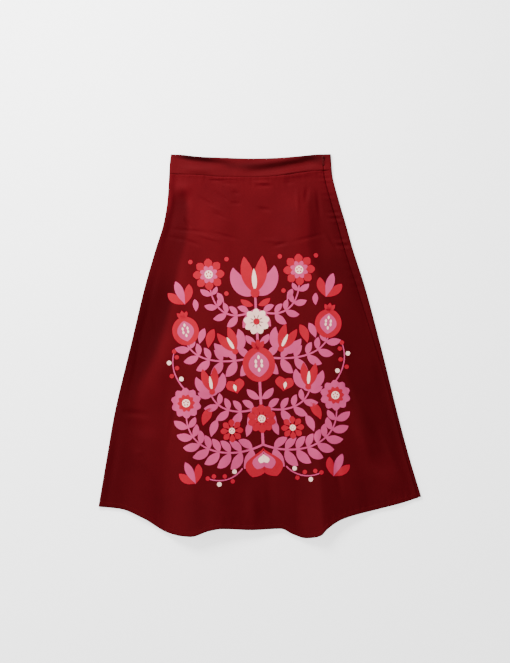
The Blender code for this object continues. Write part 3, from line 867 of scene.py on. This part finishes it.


# Painted shade in strips along the sides and towards the hem, and painted light on the left rim
def add_panel_painted_shade(mesh):
    across, drop = plan_of(mesh)
    from_left, from_right = across - left_edge(drop), right_edge(drop) - across
    painted_shade = HEM_PAINTED_SHADE * smooth(drop / RIGHT_CORNER[1])
    for side, inward in (("left", from_left), ("right", from_right)):
        reach, width, depth = (column_value(SIDE_PAINTED_SHADE[side], column, drop) for column in (1, 2, 3))
        painted_shade = painted_shade + depth * smooth((reach - inward) / width + 0.5)
    middle, half, width, painted_light = LEFT_RIM_PAINTED_LIGHT
    painted_shade = painted_shade - painted_light * smooth(1.5 - from_left / width) * hump(drop - middle, half)
    store_painted_shade(mesh, painted_shade)


# Painted shade along the waistband's folds
def add_band_painted_shade(mesh):
    across, drop = plan_of(mesh)
    middle, width, depth = (column_value(BAND_PAINTED_SHADE, column, across) for column in (1, 2, 3))
    store_painted_shade(mesh, depth * hump(drop - middle, width))


def new_object(name, data):
    thing = bpy.data.objects.new(name, data)
    bpy.context.scene.collection.objects.link(thing)
    return thing


def add_piece(name, mesh, finish, body="garment", replaces=None):
    piece = new_object(name, mesh)
    mesh.materials.clear()
    mesh.materials.append(finish)
    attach(piece, body)
    if replaces:
        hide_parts(replaces)
    return piece


def panel_shares():
    """Rows close together at the waist seam, beside the zip and in the hem."""
    lower_rows = (LOWER_ROWS_FROM, PANEL_LENGTH - LOWER_ROWS_ABOVE_HEM, LOWER_ROWS_STEP)
    upper = [spaced(*rows) / PANEL_LENGTH for rows in (WAIST_ROWS, ZIP_ROWS, lower_rows)]
    return np.concatenate([*upper, 1 - spaced(*HEM_ROWS) / PANEL_LENGTH])


def panel_half(share):
    """Half the width of the slit beside the zip and of the seam line below it."""
    drop = WAIST_SEAM[-1][1] + share * PANEL_LENGTH
    starts, ends = SLIT_CLOSES
    return SLIT_HALF + (SEAM_GAP / 2 - SLIT_HALF) * smooth((drop - ZIP_END_DROP - starts) / (ends - starts))


def build_pair(kind, solid, cuts, rows, walls, add_painted_shade, finish):
    """The front and the back cloth of one kind of piece, through rows of share, slit half width and lip."""
    pieces = {}
    for which, line, cut in zip(("front", "back"), (front_line, back_line), cuts):
        name = f"{which}_{kind}"
        mesh = shell_mesh(name, [line(cut, *row) for row in rows], walls)
        add_painted_shade(mesh)
        pieces[which] = add_piece(name, mesh, finish, replaces=f"{which}_{solid}")
    return pieces


def build_panels(cotton):
    shares = panel_shares()
    halves = panel_half(shares)
    lips = np.where(halves > SEAM_FROM_HALF, SLIT_LIP, SEAM_LIP)
    walls = np.where(shares > 1 - HEM_CLOTH_DEPTH / PANEL_LENGTH, HEM_CLOTH, CLOTH)
    rows = list(zip(shares, halves, lips))
    cuts = (FRONT_PANEL, BACK_PANEL)
    return build_pair("cloth", "panel", cuts, rows, walls, add_panel_painted_shade, cotton)


def build_bands(cotton):
    shares = np.concatenate([np.linspace(*rows) for rows in BAND_ROWS])
    rows = [(share, SLIT_HALF, SLIT_LIP) for share in shares]
    walls = [BAND_CLOTH] * len(rows)
    cuts = (FRONT_BAND, BACK_BAND)
    return build_pair("band", "waistband", cuts, rows, walls, add_band_painted_shade, cotton)


# Stitches and zip


def walk(path):
    """Length of a line of points, and the function that gives its points at distances along it."""
    travelled = np.concatenate([[0], np.cumsum(np.linalg.norm(np.diff(path, axis=0), axis=1))])

    def at(distance):
        return np.stack([np.interp(distance, travelled, path[:, k]) for k in range(3)], axis=1)

    return travelled[-1], at


def stitch_ends(path):
    """Start and end of each stitch along a line of points in metres."""
    length, at = walk(path)
    last = length / MM - STITCH_LENGTH - STITCH_MARGIN
    starts = np.arange(STITCH_MARGIN, last, STITCH_PITCH) * MM
    return at(starts), at(starts + STITCH_LENGTH * MM)


def surface_line(cloth, across, drop):
    """Points on the cloth's own mesh above a line in the plan, in metres."""
    mesh = cloth.data
    tree = BVHTree.FromPolygons([v.co for v in mesh.vertices], [p.vertices for p in mesh.polygons])
    points = to_world(across, drop, STITCH_CAST_HEIGHT)
    for point in points:
        point[2] = tree.ray_cast(Vector(point), Vector((0, 0, -1)))[0].z + STITCH_LIFT * MM
    return points


def build_stitches(thread, cloth):
    """A row of stitches below the waist seam and one in the hem."""
    waist = np.linspace(*WAIST_STITCHES)
    waist_drop = panel_drop(q_at(waist, *panel_edges(0.0)), 0.0) + WAIST_STITCH_BELOW_SEAM
    q = np.linspace(*HEM_STITCHES)
    left, right = panel_edges(1.0)
    hem = left + (right - left) * q
    hem_drop = panel_drop(q, 1.0) - HEM_STITCH_ABOVE_EDGE
    for name, across, drop in (("waist_stitches", waist, waist_drop), ("hem_stitches", hem, hem_drop)):
        starts, ends = stitch_ends(surface_line(cloth, across, drop))
        add_piece(name, capsules(name, starts, ends, STITCH_RADIUS * MM), thread)


def slit_line(cut, shares):
    """The middle line of the slit in one cloth: across, drop, height."""
    left, right = cut.edges(shares)
    across = right - cut.inset_of(shares)
    drop = cut.drop_of(q_at(across, left, right), shares)
    return np.stack([across, drop, cut.height_of(across, drop, shares)])


def zip_path():
    """The middle line of the slit, from the waistband's top to the zip's end: across, drop, height."""
    zip_end = (ZIP_END_DROP - WAIST_SEAM[-1][1]) / PANEL_LENGTH
    in_band = slit_line(FRONT_BAND, np.linspace(*ZIP_IN_BAND))
    in_panel = slit_line(FRONT_PANEL, np.linspace(ZIP_IN_PANEL_FROM, zip_end, ZIP_IN_PANEL_POINTS))
    return np.concatenate([in_band, in_panel], axis=1)


def build_tape(path, finish):
    """The woven tape under the slit."""
    across, drop, height = path[:, :, None]
    x, z = np.array(TAPE_SECTION).T
    points = to_world(across + x, drop, height - TAPE_DEPTH + z)
    add_piece("zip_tape", tube_mesh("zip_tape", points[None]), finish, replaces="zip_chain")


def build_coil(path, finish):
    """The coil on the tape, as short turns that point to one side and to the other."""
    across, drop, height = path
    length, at = walk(to_world(across, drop, height - TAPE_DEPTH + COIL_HEIGHT))
    places = np.arange(COIL_START * MM, length, COIL_PITCH * MM)
    side = np.where(np.arange(len(places)) % 2 == 0, -1.0, 1.0)[:, None] * np.array([COIL_TURN])
    inwards, outwards = COIL_REACH
    starts, ends = at(places) - side * inwards * MM, at(places) + side * outwards * MM
    add_piece("zip_coil", capsules("zip_coil", starts, ends, COIL_RADIUS * MM), finish)


def build_fitting(node, name, finish, body):
    """A copy of the slider's or the pull tab's solid, with rounded edges."""
    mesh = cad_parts[node].data.copy()
    welded = bmesh.new()
    welded.from_mesh(mesh)
    bmesh.ops.remove_doubles(welded, verts=welded.verts, dist=WELD * MM)
    flat = math.radians(FLAT_DEG)
    bmesh.ops.dissolve_limit(welded, angle_limit=flat, verts=welded.verts, edges=welded.edges)
    welded.to_mesh(mesh)
    welded.free()
    mesh.shade_smooth()
    piece = add_piece(name, mesh, finish, body, replaces=node)
    rounding = piece.modifiers.new("Bevel", "BEVEL")
    rounding.width = ROUNDING * MM
    rounding.segments = ROUNDING_STEPS
    rounding.limit_method = "ANGLE"
    rounding.angle_limit = math.radians(ROUNDING_FROM_DEG)
    rounding.harden_normals = True


# Print: a generic folk floral in film patches that follow the cloth. The shapes of its motifs are shares
# of their size, and their places are in the print's own plane: u right of its middle line, v down, in mm


# The print's middle line: its top and a place further down it, as across and drop
PRINT_TOP = (3.1, 211.0)
PRINT_BOTTOM = (28.3, 683.0)

# A film's height over the cloth, the step from layer to layer, its depth in the cloth, the distance
# between its points and the angle at which its edge is sharp
FILM = 0.22
FILM_STEP = 0.09
FILM_UNDER = 0.12
PATCH_STEP = 2.9
FILM_EDGE_DEG = 50

# The places where follow_folds measures the cloth: first, end, step
FOLLOWED_DROPS = (180, 721, 12.0)
FOLLOWED_ACROSS = (-300, 341, 2.0)

# Each ink's patches: a grid of points (u, v) and a layer
PATCHES = {"pink": [], "coral": [], "cream": []}


def offset(point, angle, distance):
    """A point a distance away. angle 0 points up the skirt, positive turns to the right."""
    turn = math.radians(angle)
    return (point[0] + distance * math.sin(turn), point[1] - distance * math.cos(turn))


def leaf(ink, base, angle, length, width, bend=0.0, belly=0.5, layer=0, blunt=0.03):
    """A leaf or petal from its base, widest at its belly."""
    rows = max(9, round(length / PATCH_STEP) + 1)
    columns = 2 * max(1, round(width / PATCH_STEP / 2)) + 1
    t = np.linspace(0, 1, rows)
    heading = math.radians(angle) + bend * (t - 0.5)
    mid_heading = (heading[1:] + heading[:-1]) / 2
    step = length / (rows - 1)
    middle_u = base[0] + np.concatenate([[0], np.cumsum(np.sin(mid_heading))]) * step
    middle_v = base[1] - np.concatenate([[0], np.cumsum(np.cos(mid_heading))]) * step
    power = math.log(0.5) / math.log(belly)
    half = width / 2 * np.maximum(np.sin(math.pi * t**power) ** 0.75, blunt)
    sideways = np.linspace(-1, 1, columns)
    grid_u = middle_u[:, None] + np.cos(heading)[:, None] * half[:, None] * sideways
    grid_v = middle_v[:, None] + np.sin(heading)[:, None] * half[:, None] * sideways
    PATCHES[ink].append((np.stack([grid_u, grid_v], axis=-1), layer))


def petal_pair(ink, base, angle, lean, length, width, bend, belly=0.5, layer=0, blunt=0.03):
    """Two leaves from one base that lean to the left and to the right."""
    for side in (-1, 1):
        leaf(ink, base, angle + side * lean, length, width, side * bend, belly, layer, blunt)


def disk(ink, centre, radius, layer=0, stretch=1.0, angle=0.0):
    """A round spot, which may be an oval."""
    s = np.linspace(-1, 1, 2 * max(3, round(radius / PATCH_STEP)) + 1)
    x, y = np.meshgrid(s, s)
    turn = math.radians(angle)
    across = x * np.sqrt(1 - y * y / 2) * radius
    up = y * np.sqrt(1 - x * x / 2) * radius * stretch
    grid_u = centre[0] + across * math.cos(turn) + up * math.sin(turn)
    grid_v = centre[1] + across * math.sin(turn) - up * math.cos(turn)
    PATCHES[ink].append((np.stack([grid_u, grid_v], axis=-1), layer))


def bezier(points, t):
    p0, p1, p2, p3 = (np.array(point, float) for point in points)
    t = np.asarray(t)[:, None]
    return (1 - t) ** 3 * p0 + 3 * (1 - t) ** 2 * t * p1 + 3 * (1 - t) * t * t * p2 + t**3 * p3


def stem(ink, points, start_width, end_width, layer=0):
    """A ribbon along a curve."""
    rough = bezier(points, np.linspace(0, 1, 60))
    length = np.linalg.norm(np.diff(rough, axis=0), axis=1).sum()
    rows = max(6, round(length / PATCH_STEP) + 1)
    line = bezier(points, np.linspace(0, 1, rows))
    forward = np.gradient(line, axis=0)
    forward = forward / np.linalg.norm(forward, axis=1, keepdims=True)
    side = np.stack([-forward[:, 1], forward[:, 0]], axis=1)
    half = np.linspace(start_width, end_width, rows)[:, None] / 2
    PATCHES[ink].append((np.stack([line - side * half, line, line + side * half], axis=1), layer))


def branch(points, leaves, leaf_size, first=0.12, last=0.9, spread_deg=48, inner=0.78):
    """A stem with pairs of leaves, smaller towards its end and on its inner, left side."""
    stem("pink", points, 4.6, 3.0)
    for t in np.linspace(first, last, leaves):
        here, ahead = bezier(points, [t, min(t + 0.02, 1.0)])
        heading = math.degrees(math.atan2(ahead[0] - here[0], here[1] - ahead[1]))
        for side, share in ((-1, inner), (1, 1.0)):
            size = leaf_size * (1.08 - 0.3 * t) * share
            leaf("pink", here, heading + side * spread_deg, size, size * 0.48, side * -0.7)


def daisy(centre, radius, petals=9, petal_ink="coral", inner_ink=None, eye_ink="cream", layer=2):
    """A round flower: separate petals, where it has them a ring of smaller ones, an eye and dots in it."""
    for k in range(petals):
        angle = 360 * k / petals
        base = offset(centre, angle, 0.22 * radius)
        leaf(petal_ink, base, angle, radius * 0.78, radius * 0.54, 0, 0.66, layer, 0.3)
        if inner_ink:
            angle = angle + 180 / petals
            base = offset(centre, angle, 0.12 * radius)
            leaf(inner_ink, base, angle, radius * 0.46, radius * 0.3, 0, 0.6, layer + 1, 0.2)
    disk(eye_ink, centre, radius * 0.26, layer + 2)
    for k in range(5):
        disk("coral", offset(centre, 72 * k, 0.14 * radius), radius * 0.05, layer + 3)


def tulip(base, angle, size, layer=2):
    """A cup of petals seen from the side."""
    petal_pair("pink", base, angle, 38, size * 0.94, size * 0.42, -1.3, 0.42, layer)
    petal_pair("coral", base, angle, 14, size, size * 0.34, -0.35, 0.5, layer + 1)
    leaf("cream", offset(base, angle, size * 0.08), angle, size * 0.56, size * 0.13, 0, 0.45, layer + 2)
    disk("coral", base, size * 0.12, layer + 3)


def round_fruit(centre, radius, angle, layer=2):
    """A round fruit with a crown of sepals and rows of seeds."""
    disk("coral", centre, radius, layer, 1.08, angle)
    top = offset(centre, angle, 0.9 * radius)
    for side in (-1, 0, 1):
        leaf("coral", top, angle + side * 36, radius * 0.66, radius * 0.34, 0, 0.5, layer)
    foot = offset(centre, angle, -0.78 * radius)
    leaf("pink", foot, angle, radius * 1.54, radius * 1.26, 0, 0.5, layer + 1)
    for row, seeds in ((-0.36, 1), (-0.1, 2), (0.16, 2), (0.42, 1)):
        for k in range(seeds):
            sideways = (k - (seeds - 1) / 2) * 0.36 * radius
            spot = offset(offset(centre, angle, row * radius - 0.1 * radius), angle + 90, sideways)
            leaf("cream", spot, angle, radius * 0.26, radius * 0.16, 0, 0.45, layer + 2, 0.2)


def heart(centre, size, angle, ink="coral", layer=1):
    """Two petals that lean together at their base."""
    base = offset(centre, angle, -0.5 * size)
    petal_pair(ink, base, angle, 23, size * 1.08, size * 0.72, -0.2, 0.68, layer, 0.05)


def berries(points, count, radius=4.8):
    """A thin stem with a berry on each side in turn and one at its tip."""
    stem("pink", points, 3.0, 2.2)
    for number, t in enumerate(np.linspace(0.2, 1.0, count)):
        here, ahead = bezier(points, [min(t, 0.98), min(t, 0.98) + 0.02])
        forward = (ahead - here) / np.linalg.norm(ahead - here)
        side = np.array([-forward[1], forward[0]]) * (1 if number % 2 else -1)
        reach = 0 if number == count - 1 else radius * 1.6
        disk("coral" if number % 3 else "cream", here + side * reach, radius, 1)


def plume(base, angle, size):
    """A small upright spray of three petals, coral and pink in turn."""
    for layer, side, ink in ((0, -1, "coral"), (1, 0, "pink"), (0, 1, "coral")):
        length = size * (1 - 0.16 * abs(side))
        leaf(ink, base, angle + 34 * side, length, size * 0.34, -0.5 * side, 0.6, layer)


def mirrored(draw):
    """Draws a group of motifs and its mirror image about the middle line."""
    before = {ink: len(patches) for ink, patches in PATCHES.items()}
    draw()
    for ink, patches in PATCHES.items():
        drawn = patches[before[ink]:]
        patches.extend((grid[:, ::-1] * np.array([-1, 1]), layer) for grid, layer in drawn)


def draw_sides():
    """The right half of the design, from the top down."""
    branch(((0, 114), (44, 138), (88, 124), (94, 62)), 5, 33)
    daisy((95, 36), 33, 8, "coral", "pink")
    for place in ((56, 6), (60, 78), (132, 8)):
        disk("coral", place, 4.8)
    leaf("pink", (66, 98), 30, 26, 12, 0.0, 0.6)
    plume((148, 96), 20, 52)
    leaf("pink", (126, 112), 4, 26, 12, 0.4, 0.55)
    branch(((0, 212), (54, 226), (132, 226), (150, 176)), 6, 40, spread_deg=52)
    round_fruit((150, 152), 28, 8)
    tulip((48, 200), 28, 54)
    leaf("coral", (104, 190), -20, 42, 18, -0.5, 0.55)
    leaf("pink", (122, 180), -22, 34, 15, -0.3, 0.55)
    berries(((160, 272), (182, 244), (184, 218), (176, 192)), 6)
    branch(((0, 318), (44, 338), (100, 324), (106, 278)), 5, 37, spread_deg=54)
    tulip((101, 282), 6, 52)
    heart((51, 274), 30, 12)
    leaf("cream", (51, 284), 12, 15, 7, 0, 0.6, 3)
    branch(((0, 398), (62, 428), (158, 412), (158, 332)), 8, 43, spread_deg=50)
    daisy((157, 303), 32, 10, "pink", "coral")
    leaf("coral", (124, 352), -30, 42, 19, -0.5, 0.55)
    leaf("pink", (108, 376), -24, 38, 17, -0.4, 0.55)
    daisy((64, 366), 24, 8)
    leaf("pink", (34, 380), -14, 32, 14, 0.5, 0.55)
    berries(((46, 446), (66, 470), (96, 474), (122, 462)), 6)
    plume((146, 472), 24, 50)


def draw_middle():
    """The stem, flowers and heart on the middle line."""
    stem("pink", ((0, 400), (0, 300), (0, 160), (0, 60)), 6.0, 4.6)
    tulip((0, 80), 0, 80)
    daisy((0, 140), 27, 9, "cream", None, "coral")
    round_fruit((0, 230), 34, 0)
    daisy((0, 344), 30, 10)
    for side in (-1, 1):
        leaf("pink", (side * 3, 188), side * 46, 30, 14, side * -0.6)
        leaf("pink", (side * 2, 302), side * 50, 34, 15, side * -0.6)
        leaf("coral", (side * 5, 106), side * 62, 30, 13, side * -0.6, 0.5, 1)
    heart((0, 436), 60, 180)
    heart((0, 431), 37, 180, "pink", 3)
    heart((0, 428), 18, 180, "cream", 4)


def print_to_plan(points):
    """The print's own plane to across and drop on the cloth, before the folds take it up."""
    top = np.array(PRINT_TOP)
    down = np.array(PRINT_BOTTOM) - top
    down = down / np.linalg.norm(down)
    right = np.array([down[1], -down[0]])
    place = top + points[..., :1] * right + points[..., 1:] * down
    return place[..., 0], place[..., 1]


def follow_folds(across, drop):
    """Moves plan points so that their distance from the skirt's middle line is measured along the cloth."""
    lines, grid = np.arange(*FOLLOWED_DROPS), np.arange(*FOLLOWED_ACROSS)
    moved = np.zeros((len(lines), len(across)))
    for number, line in enumerate(lines):
        line_drop = np.full_like(grid, line)
        height = front_height(grid, line_drop, panel_share(grid, line_drop))
        travelled = np.concatenate([[0], np.cumsum(np.hypot(np.diff(grid), np.diff(height)))])
        travelled = travelled - np.interp(0.0, grid, travelled)
        moved[number] = np.interp(across, travelled, grid)
    place = (drop - lines[0]) / (lines[1] - lines[0])
    low = np.clip(place.astype(int), 0, len(lines) - 2)
    blend = np.clip(place - low, 0, 1)
    columns = np.arange(len(across))
    return moved[low, columns] * (1 - blend) + moved[low + 1, columns] * blend


def film_mesh(name, patches):
    """All patches of one ink as closed films that follow the cloth."""
    points, faces, count = [], [], 0
    for grid, layer in patches:
        across, drop = print_to_plan(grid)
        for lift in (FILM + FILM_STEP * layer, -FILM_UNDER):
            points.append(np.stack([across, drop, np.full_like(across, lift)], -1).reshape(-1, 3))
        top = count + np.arange(across.size).reshape(across.shape)
        low = top + across.size
        faces += [grid_faces(top), grid_faces(low.T), ring_faces(grid_edge(top), grid_edge(low))]
        count += 2 * across.size
    across, drop, lift = np.concatenate(points).T
    across = follow_folds(across, drop)
    height = front_height(across, drop, panel_share(across, drop)) + lift
    mesh = mesh_of(name, to_world(across, drop, height), *faces)
    mesh.set_sharp_from_angle(angle=math.radians(FILM_EDGE_DEG))
    return mesh


def build_print(finishes):
    draw_middle()
    mirrored(draw_sides)
    for ink, patches in PATCHES.items():
        name = "print_" + ink
        add_piece(name, film_mesh(name, patches), finishes[ink + " print"])


# Materials


# Dyes and inks. A drift of colour is drift_mm large, threads are thread_mm apart and show by bump, and
# the colour that painted shade runs to is for the cloths whose meshes store how much shade is painted
PRINTED = {"roughness": 0.75, "bump": 0.25, "drift_mm": 30.0}
WEAVES = {
    "burgundy cotton": {
        "dark": (0.059, 0.0018, 0.0036),
        "light": (0.078, 0.0026, 0.0048),
        "roughness": 0.66,
        # the colour that painted shade runs to
        "painted_shade_colour": (0.031, 0.0005, 0.0015),
    },
    "waistband cotton": {
        "dark": (0.058, 0.0024, 0.0040),
        "light": (0.077, 0.0032, 0.0052),
        "roughness": 0.64,
        # the colour that painted shade runs to
        "painted_shade_colour": (0.012, 0.0006, 0.0010),
    },
    "sewing thread": {
        "dark": (0.080, 0.0030, 0.0036),
        "light": (0.11, 0.004, 0.005),
        "roughness": 0.6,
        "thread_mm": 0.3,
        "bump": 0.5,
    },
    "zip tape": {
        "dark": (0.032, 0.0008, 0.0010),
        "light": (0.05, 0.0014, 0.0016),
        "roughness": 0.75,
        "thread_mm": 0.4,
        "bump": 0.6,
    },
    "pink print": {"dark": (0.40, 0.040, 0.122), "light": (0.46, 0.050, 0.145), **PRINTED},
    "coral print": {"dark": (0.30, 0.006, 0.017), "light": (0.35, 0.008, 0.022), **PRINTED},
    "cream print": {"dark": (0.82, 0.48, 0.40), "light": (0.89, 0.55, 0.47), **PRINTED},
}

# The slider's and the pull tab's enamel: colour, roughness
SLIDER_ENAMEL = ((0.048, 0.002, 0.003), 0.5)
TAB_ENAMEL = ((0.050, 0.002, 0.003), 0.6)

# Sizes in a weave: its flecks and their share of the colour's noise, its crumple, and the relief of both
FLECK_MM = 1.6
FLECK_SHARE = 0.35
CRUMPLE_MM = 9
CRUMPLE_BUMP = 0.25
CRUMPLE_HEIGHT = 0.6
THREAD_HEIGHT = 0.08
THREAD_WAVE = {"Distortion": 0.6, "Detail": 1.0}
ROUGHNESS_SWING = 0.07
DYE_RANGE = (0.42, 0.95)
CLOTH_SPECULAR = 0.02

# Blender's wave texture runs through so many radians over one unit of its scale
WAVE_RADIANS = 20

# Wear on enamel: size, the noise between which the colour runs, its shares of the colour, then how much
# smoother and rougher it gets
WEAR_MM = 1.2
WEAR_RANGE = (0.35, 0.75)
WEAR_SHADES = (0.75, 1.3)
WEAR_ROUGHNESS = (-0.08, 0.12)
ENAMEL_SPECULAR = 0.06


def new_material(name):
    material = bpy.data.materials.new(name)
    material.use_nodes = True
    tree = material.node_tree
    return material, tree, tree.nodes["Principled BSDF"]


def feed(tree, node, inputs):
    """Gives each of these inputs its value, or links another node's output to it."""
    for name, source in inputs.items():
        if isinstance(source, bpy.types.NodeSocket):
            tree.links.new(source, node.inputs[name])
        else:
            node.inputs[name].default_value = source


def add_node(tree, kind, inputs, **settings):
    node = tree.nodes.new(kind)
    for name, setting in settings.items():
        setattr(node, name, setting)
    feed(tree, node, inputs)
    return node


def object_place(tree):
    return add_node(tree, "ShaderNodeTexCoord", {}).outputs["Object"]


def noise(tree, place, size_mm, detail, roughness):
    inputs = {"Vector": place, "Scale": 1 / (size_mm * MM), "Detail": detail, "Roughness": roughness}
    return add_node(tree, "ShaderNodeTexNoise", inputs).outputs["Fac"]


def ramp(tree, factor, positions, colours):
    """A colour that runs from the first to the second between two values of the factor."""
    node = add_node(tree, "ShaderNodeValToRGB", {"Fac": factor})
    for element, position, colour in zip(node.color_ramp.elements, positions, colours):
        element.position = position
        element.color = (*colour, 1)
    return node.outputs["Color"]


def between(tree, factor, low, high):
    inputs = {"Value": factor, "To Min": low, "To Max": high}
    return add_node(tree, "ShaderNodeMapRange", inputs).outputs["Result"]


def woven(name, dark, light, roughness, thread_mm=0.5, bump=0.35, drift_mm=70.0, painted_shade_colour=None):
    """A fine cotton weave whose colour drifts a little, with shade painted in where the mesh says so."""
    material, tree, shader = new_material(name)
    place = object_place(tree)
    drift = noise(tree, place, drift_mm, 4.0, 0.55)
    fleck = noise(tree, place, FLECK_MM, 2.0, 0.6)
    crumple = noise(tree, place, CRUMPLE_MM, 3.0, 0.6)
    both = {0: fleck, 1: FLECK_SHARE, 2: drift}
    mottle = add_node(tree, "ShaderNodeMath", both, operation="MULTIPLY_ADD").outputs[0]
    colour = ramp(tree, mottle, DYE_RANGE, (dark, light))
    # Painted shade: the colour runs towards the shade colour as far as the mesh's painted shade says
    if painted_shade_colour:
        painted_shade = add_node(tree, "ShaderNodeAttribute", {}, attribute_name="painted_shade").outputs["Fac"]
        painted_shading = {"Factor": painted_shade, "A": colour, "B": (*painted_shade_colour, 1)}
        colour = add_node(tree, "ShaderNodeMix", painted_shading, data_type="RGBA").outputs["Result"]
    wave = {"Vector": place, "Scale": 2 * math.pi / WAVE_RADIANS / (thread_mm * MM), **THREAD_WAVE}
    threads = {
        number: add_node(tree, "ShaderNodeTexWave", wave, bands_direction=direction).outputs["Fac"]
        for number, direction in enumerate(("X", "Y"))
    }
    crossed = add_node(tree, "ShaderNodeMath", threads, operation="MULTIPLY").outputs[0]
    fine = {"Height": crossed, "Strength": bump, "Distance": THREAD_HEIGHT * MM}
    broad = {"Height": crumple, "Strength": CRUMPLE_BUMP, "Distance": CRUMPLE_HEIGHT * MM}
    broad["Normal"] = add_node(tree, "ShaderNodeBump", fine).outputs["Normal"]
    look = {
        "Base Color": colour,
        "Normal": add_node(tree, "ShaderNodeBump", broad).outputs["Normal"],
        "Roughness": between(tree, drift, roughness - ROUGHNESS_SWING, roughness + ROUGHNESS_SWING),
        "Specular IOR Level": CLOTH_SPECULAR,
    }
    feed(tree, shader, look)
    return material


def enamelled(name, colour, roughness):
    """Enamelled metal with light scratches and wear."""
    material, tree, shader = new_material(name)
    wear = noise(tree, object_place(tree), WEAR_MM, 5.0, 0.65)
    shades = [[share * part for part in colour] for share in WEAR_SHADES]
    look = {
        "Base Color": ramp(tree, wear, WEAR_RANGE, shades),
        "Roughness": between(tree, wear, *(roughness + change for change in WEAR_ROUGHNESS)),
        "Metallic": 0.0,
        "Specular IOR Level": ENAMEL_SPECULAR,
    }
    feed(tree, shader, look)
    return material


# Stage, light and camera


# The camera looks straight down: its height in metres, the photo's size in pixels, one pixel and the
# photo's centre in millimetres, and the sensor's size
CAMERA_HEIGHT = 6.0
PHOTO_SIZE = (510, 663)
PIXEL = 2.1
PHOTO_CENTRE = (7.3, 371.7)
SENSOR = 36.0

# Light: strength of the world and of the floor, then each lamp's place, aim, size and power
WORLD_LIGHT = 0.45
FLOOR_GLOW = 1.7
LAMPS = {
    "key": ((-0.62, 1.1, 1.15), (-0.02, 0.05, 0.0), (1.0, 0.7), 78),
    "side": ((-1.6, -0.25, 1.0), (0.0, -0.1, 0.0), (1.2, 1.2), 20),
}

# The floor, in metres: how far it reaches and how far it lies below the skirt
FLOOR_REACH = 20.0
FLOOR_BELOW = 0.0004
FLOOR_LOOK = {
    "Base Color": (0.88, 0.88, 0.88, 1),
    "Roughness": 0.9,
    "Specular IOR Level": 0.1,
    "Emission Color": (1, 1, 1, 1),
    "Emission Strength": FLOOR_GLOW,
}


def build_stage():
    floor_mesh = bpy.data.meshes.new("floor")
    corners = ((-1, -1), (1, -1), (1, 1), (-1, 1))
    points = [(x * FLOOR_REACH, y * FLOOR_REACH, -FLOOR_BELOW) for x, y in corners]
    floor_mesh.from_pydata(points, [], [(0, 1, 2, 3)])
    material, tree, shader = new_material("pale floor")
    feed(tree, shader, FLOOR_LOOK)
    floor_mesh.materials.append(material)
    new_object("floor", floor_mesh)


def area_light(name, place, aim, size, power):
    data = bpy.data.lights.new(name, "AREA")
    data.shape = "RECTANGLE"
    data.size, data.size_y = size
    data.energy = power
    light = new_object(name, data)
    light.location = place
    light.rotation_euler = (Vector(aim) - Vector(place)).to_track_quat("-Z", "Y").to_euler()


def build_light():
    world = bpy.data.worlds.new("studio")
    world.use_nodes = True
    tree = world.node_tree
    feed(tree, tree.nodes["Background"], {"Color": (1.0, 1.0, 1.0, 1), "Strength": WORLD_LIGHT})
    bpy.context.scene.world = world
    for name, lamp in LAMPS.items():
        area_light(name, *lamp)


def build_camera():
    data = bpy.data.cameras.new("camera")
    data.sensor_width = SENSOR
    data.sensor_fit = "AUTO"
    data.lens = SENSOR * CAMERA_HEIGHT / (PHOTO_SIZE[1] * PIXEL * MM)
    camera = new_object("camera", data)
    camera.location = to_world(*PHOTO_CENTRE, CAMERA_HEIGHT / MM).tolist()
    camera.rotation_euler = (0, 0, 0)
    bpy.context.scene.camera = camera


def main():
    finishes = {name: woven(name, **weave) for name, weave in WEAVES.items()}
    panels = build_panels(finishes["burgundy cotton"])
    bands = build_bands(finishes["waistband cotton"])
    build_stitches(finishes["sewing thread"], panels["front"])
    path = zip_path()
    build_tape(path, finishes["zip tape"])
    build_coil(path, finishes["zip tape"])
    build_fitting("zip_slider", "slider_body", enamelled("slider metal", *SLIDER_ENAMEL), "garment")
    build_fitting("zip_pull", "pull_tab", enamelled("pull tab enamel", *TAB_ENAMEL), "zip_pull")
    build_print(finishes)
    build_stage()
    build_light()
    build_camera()


main()
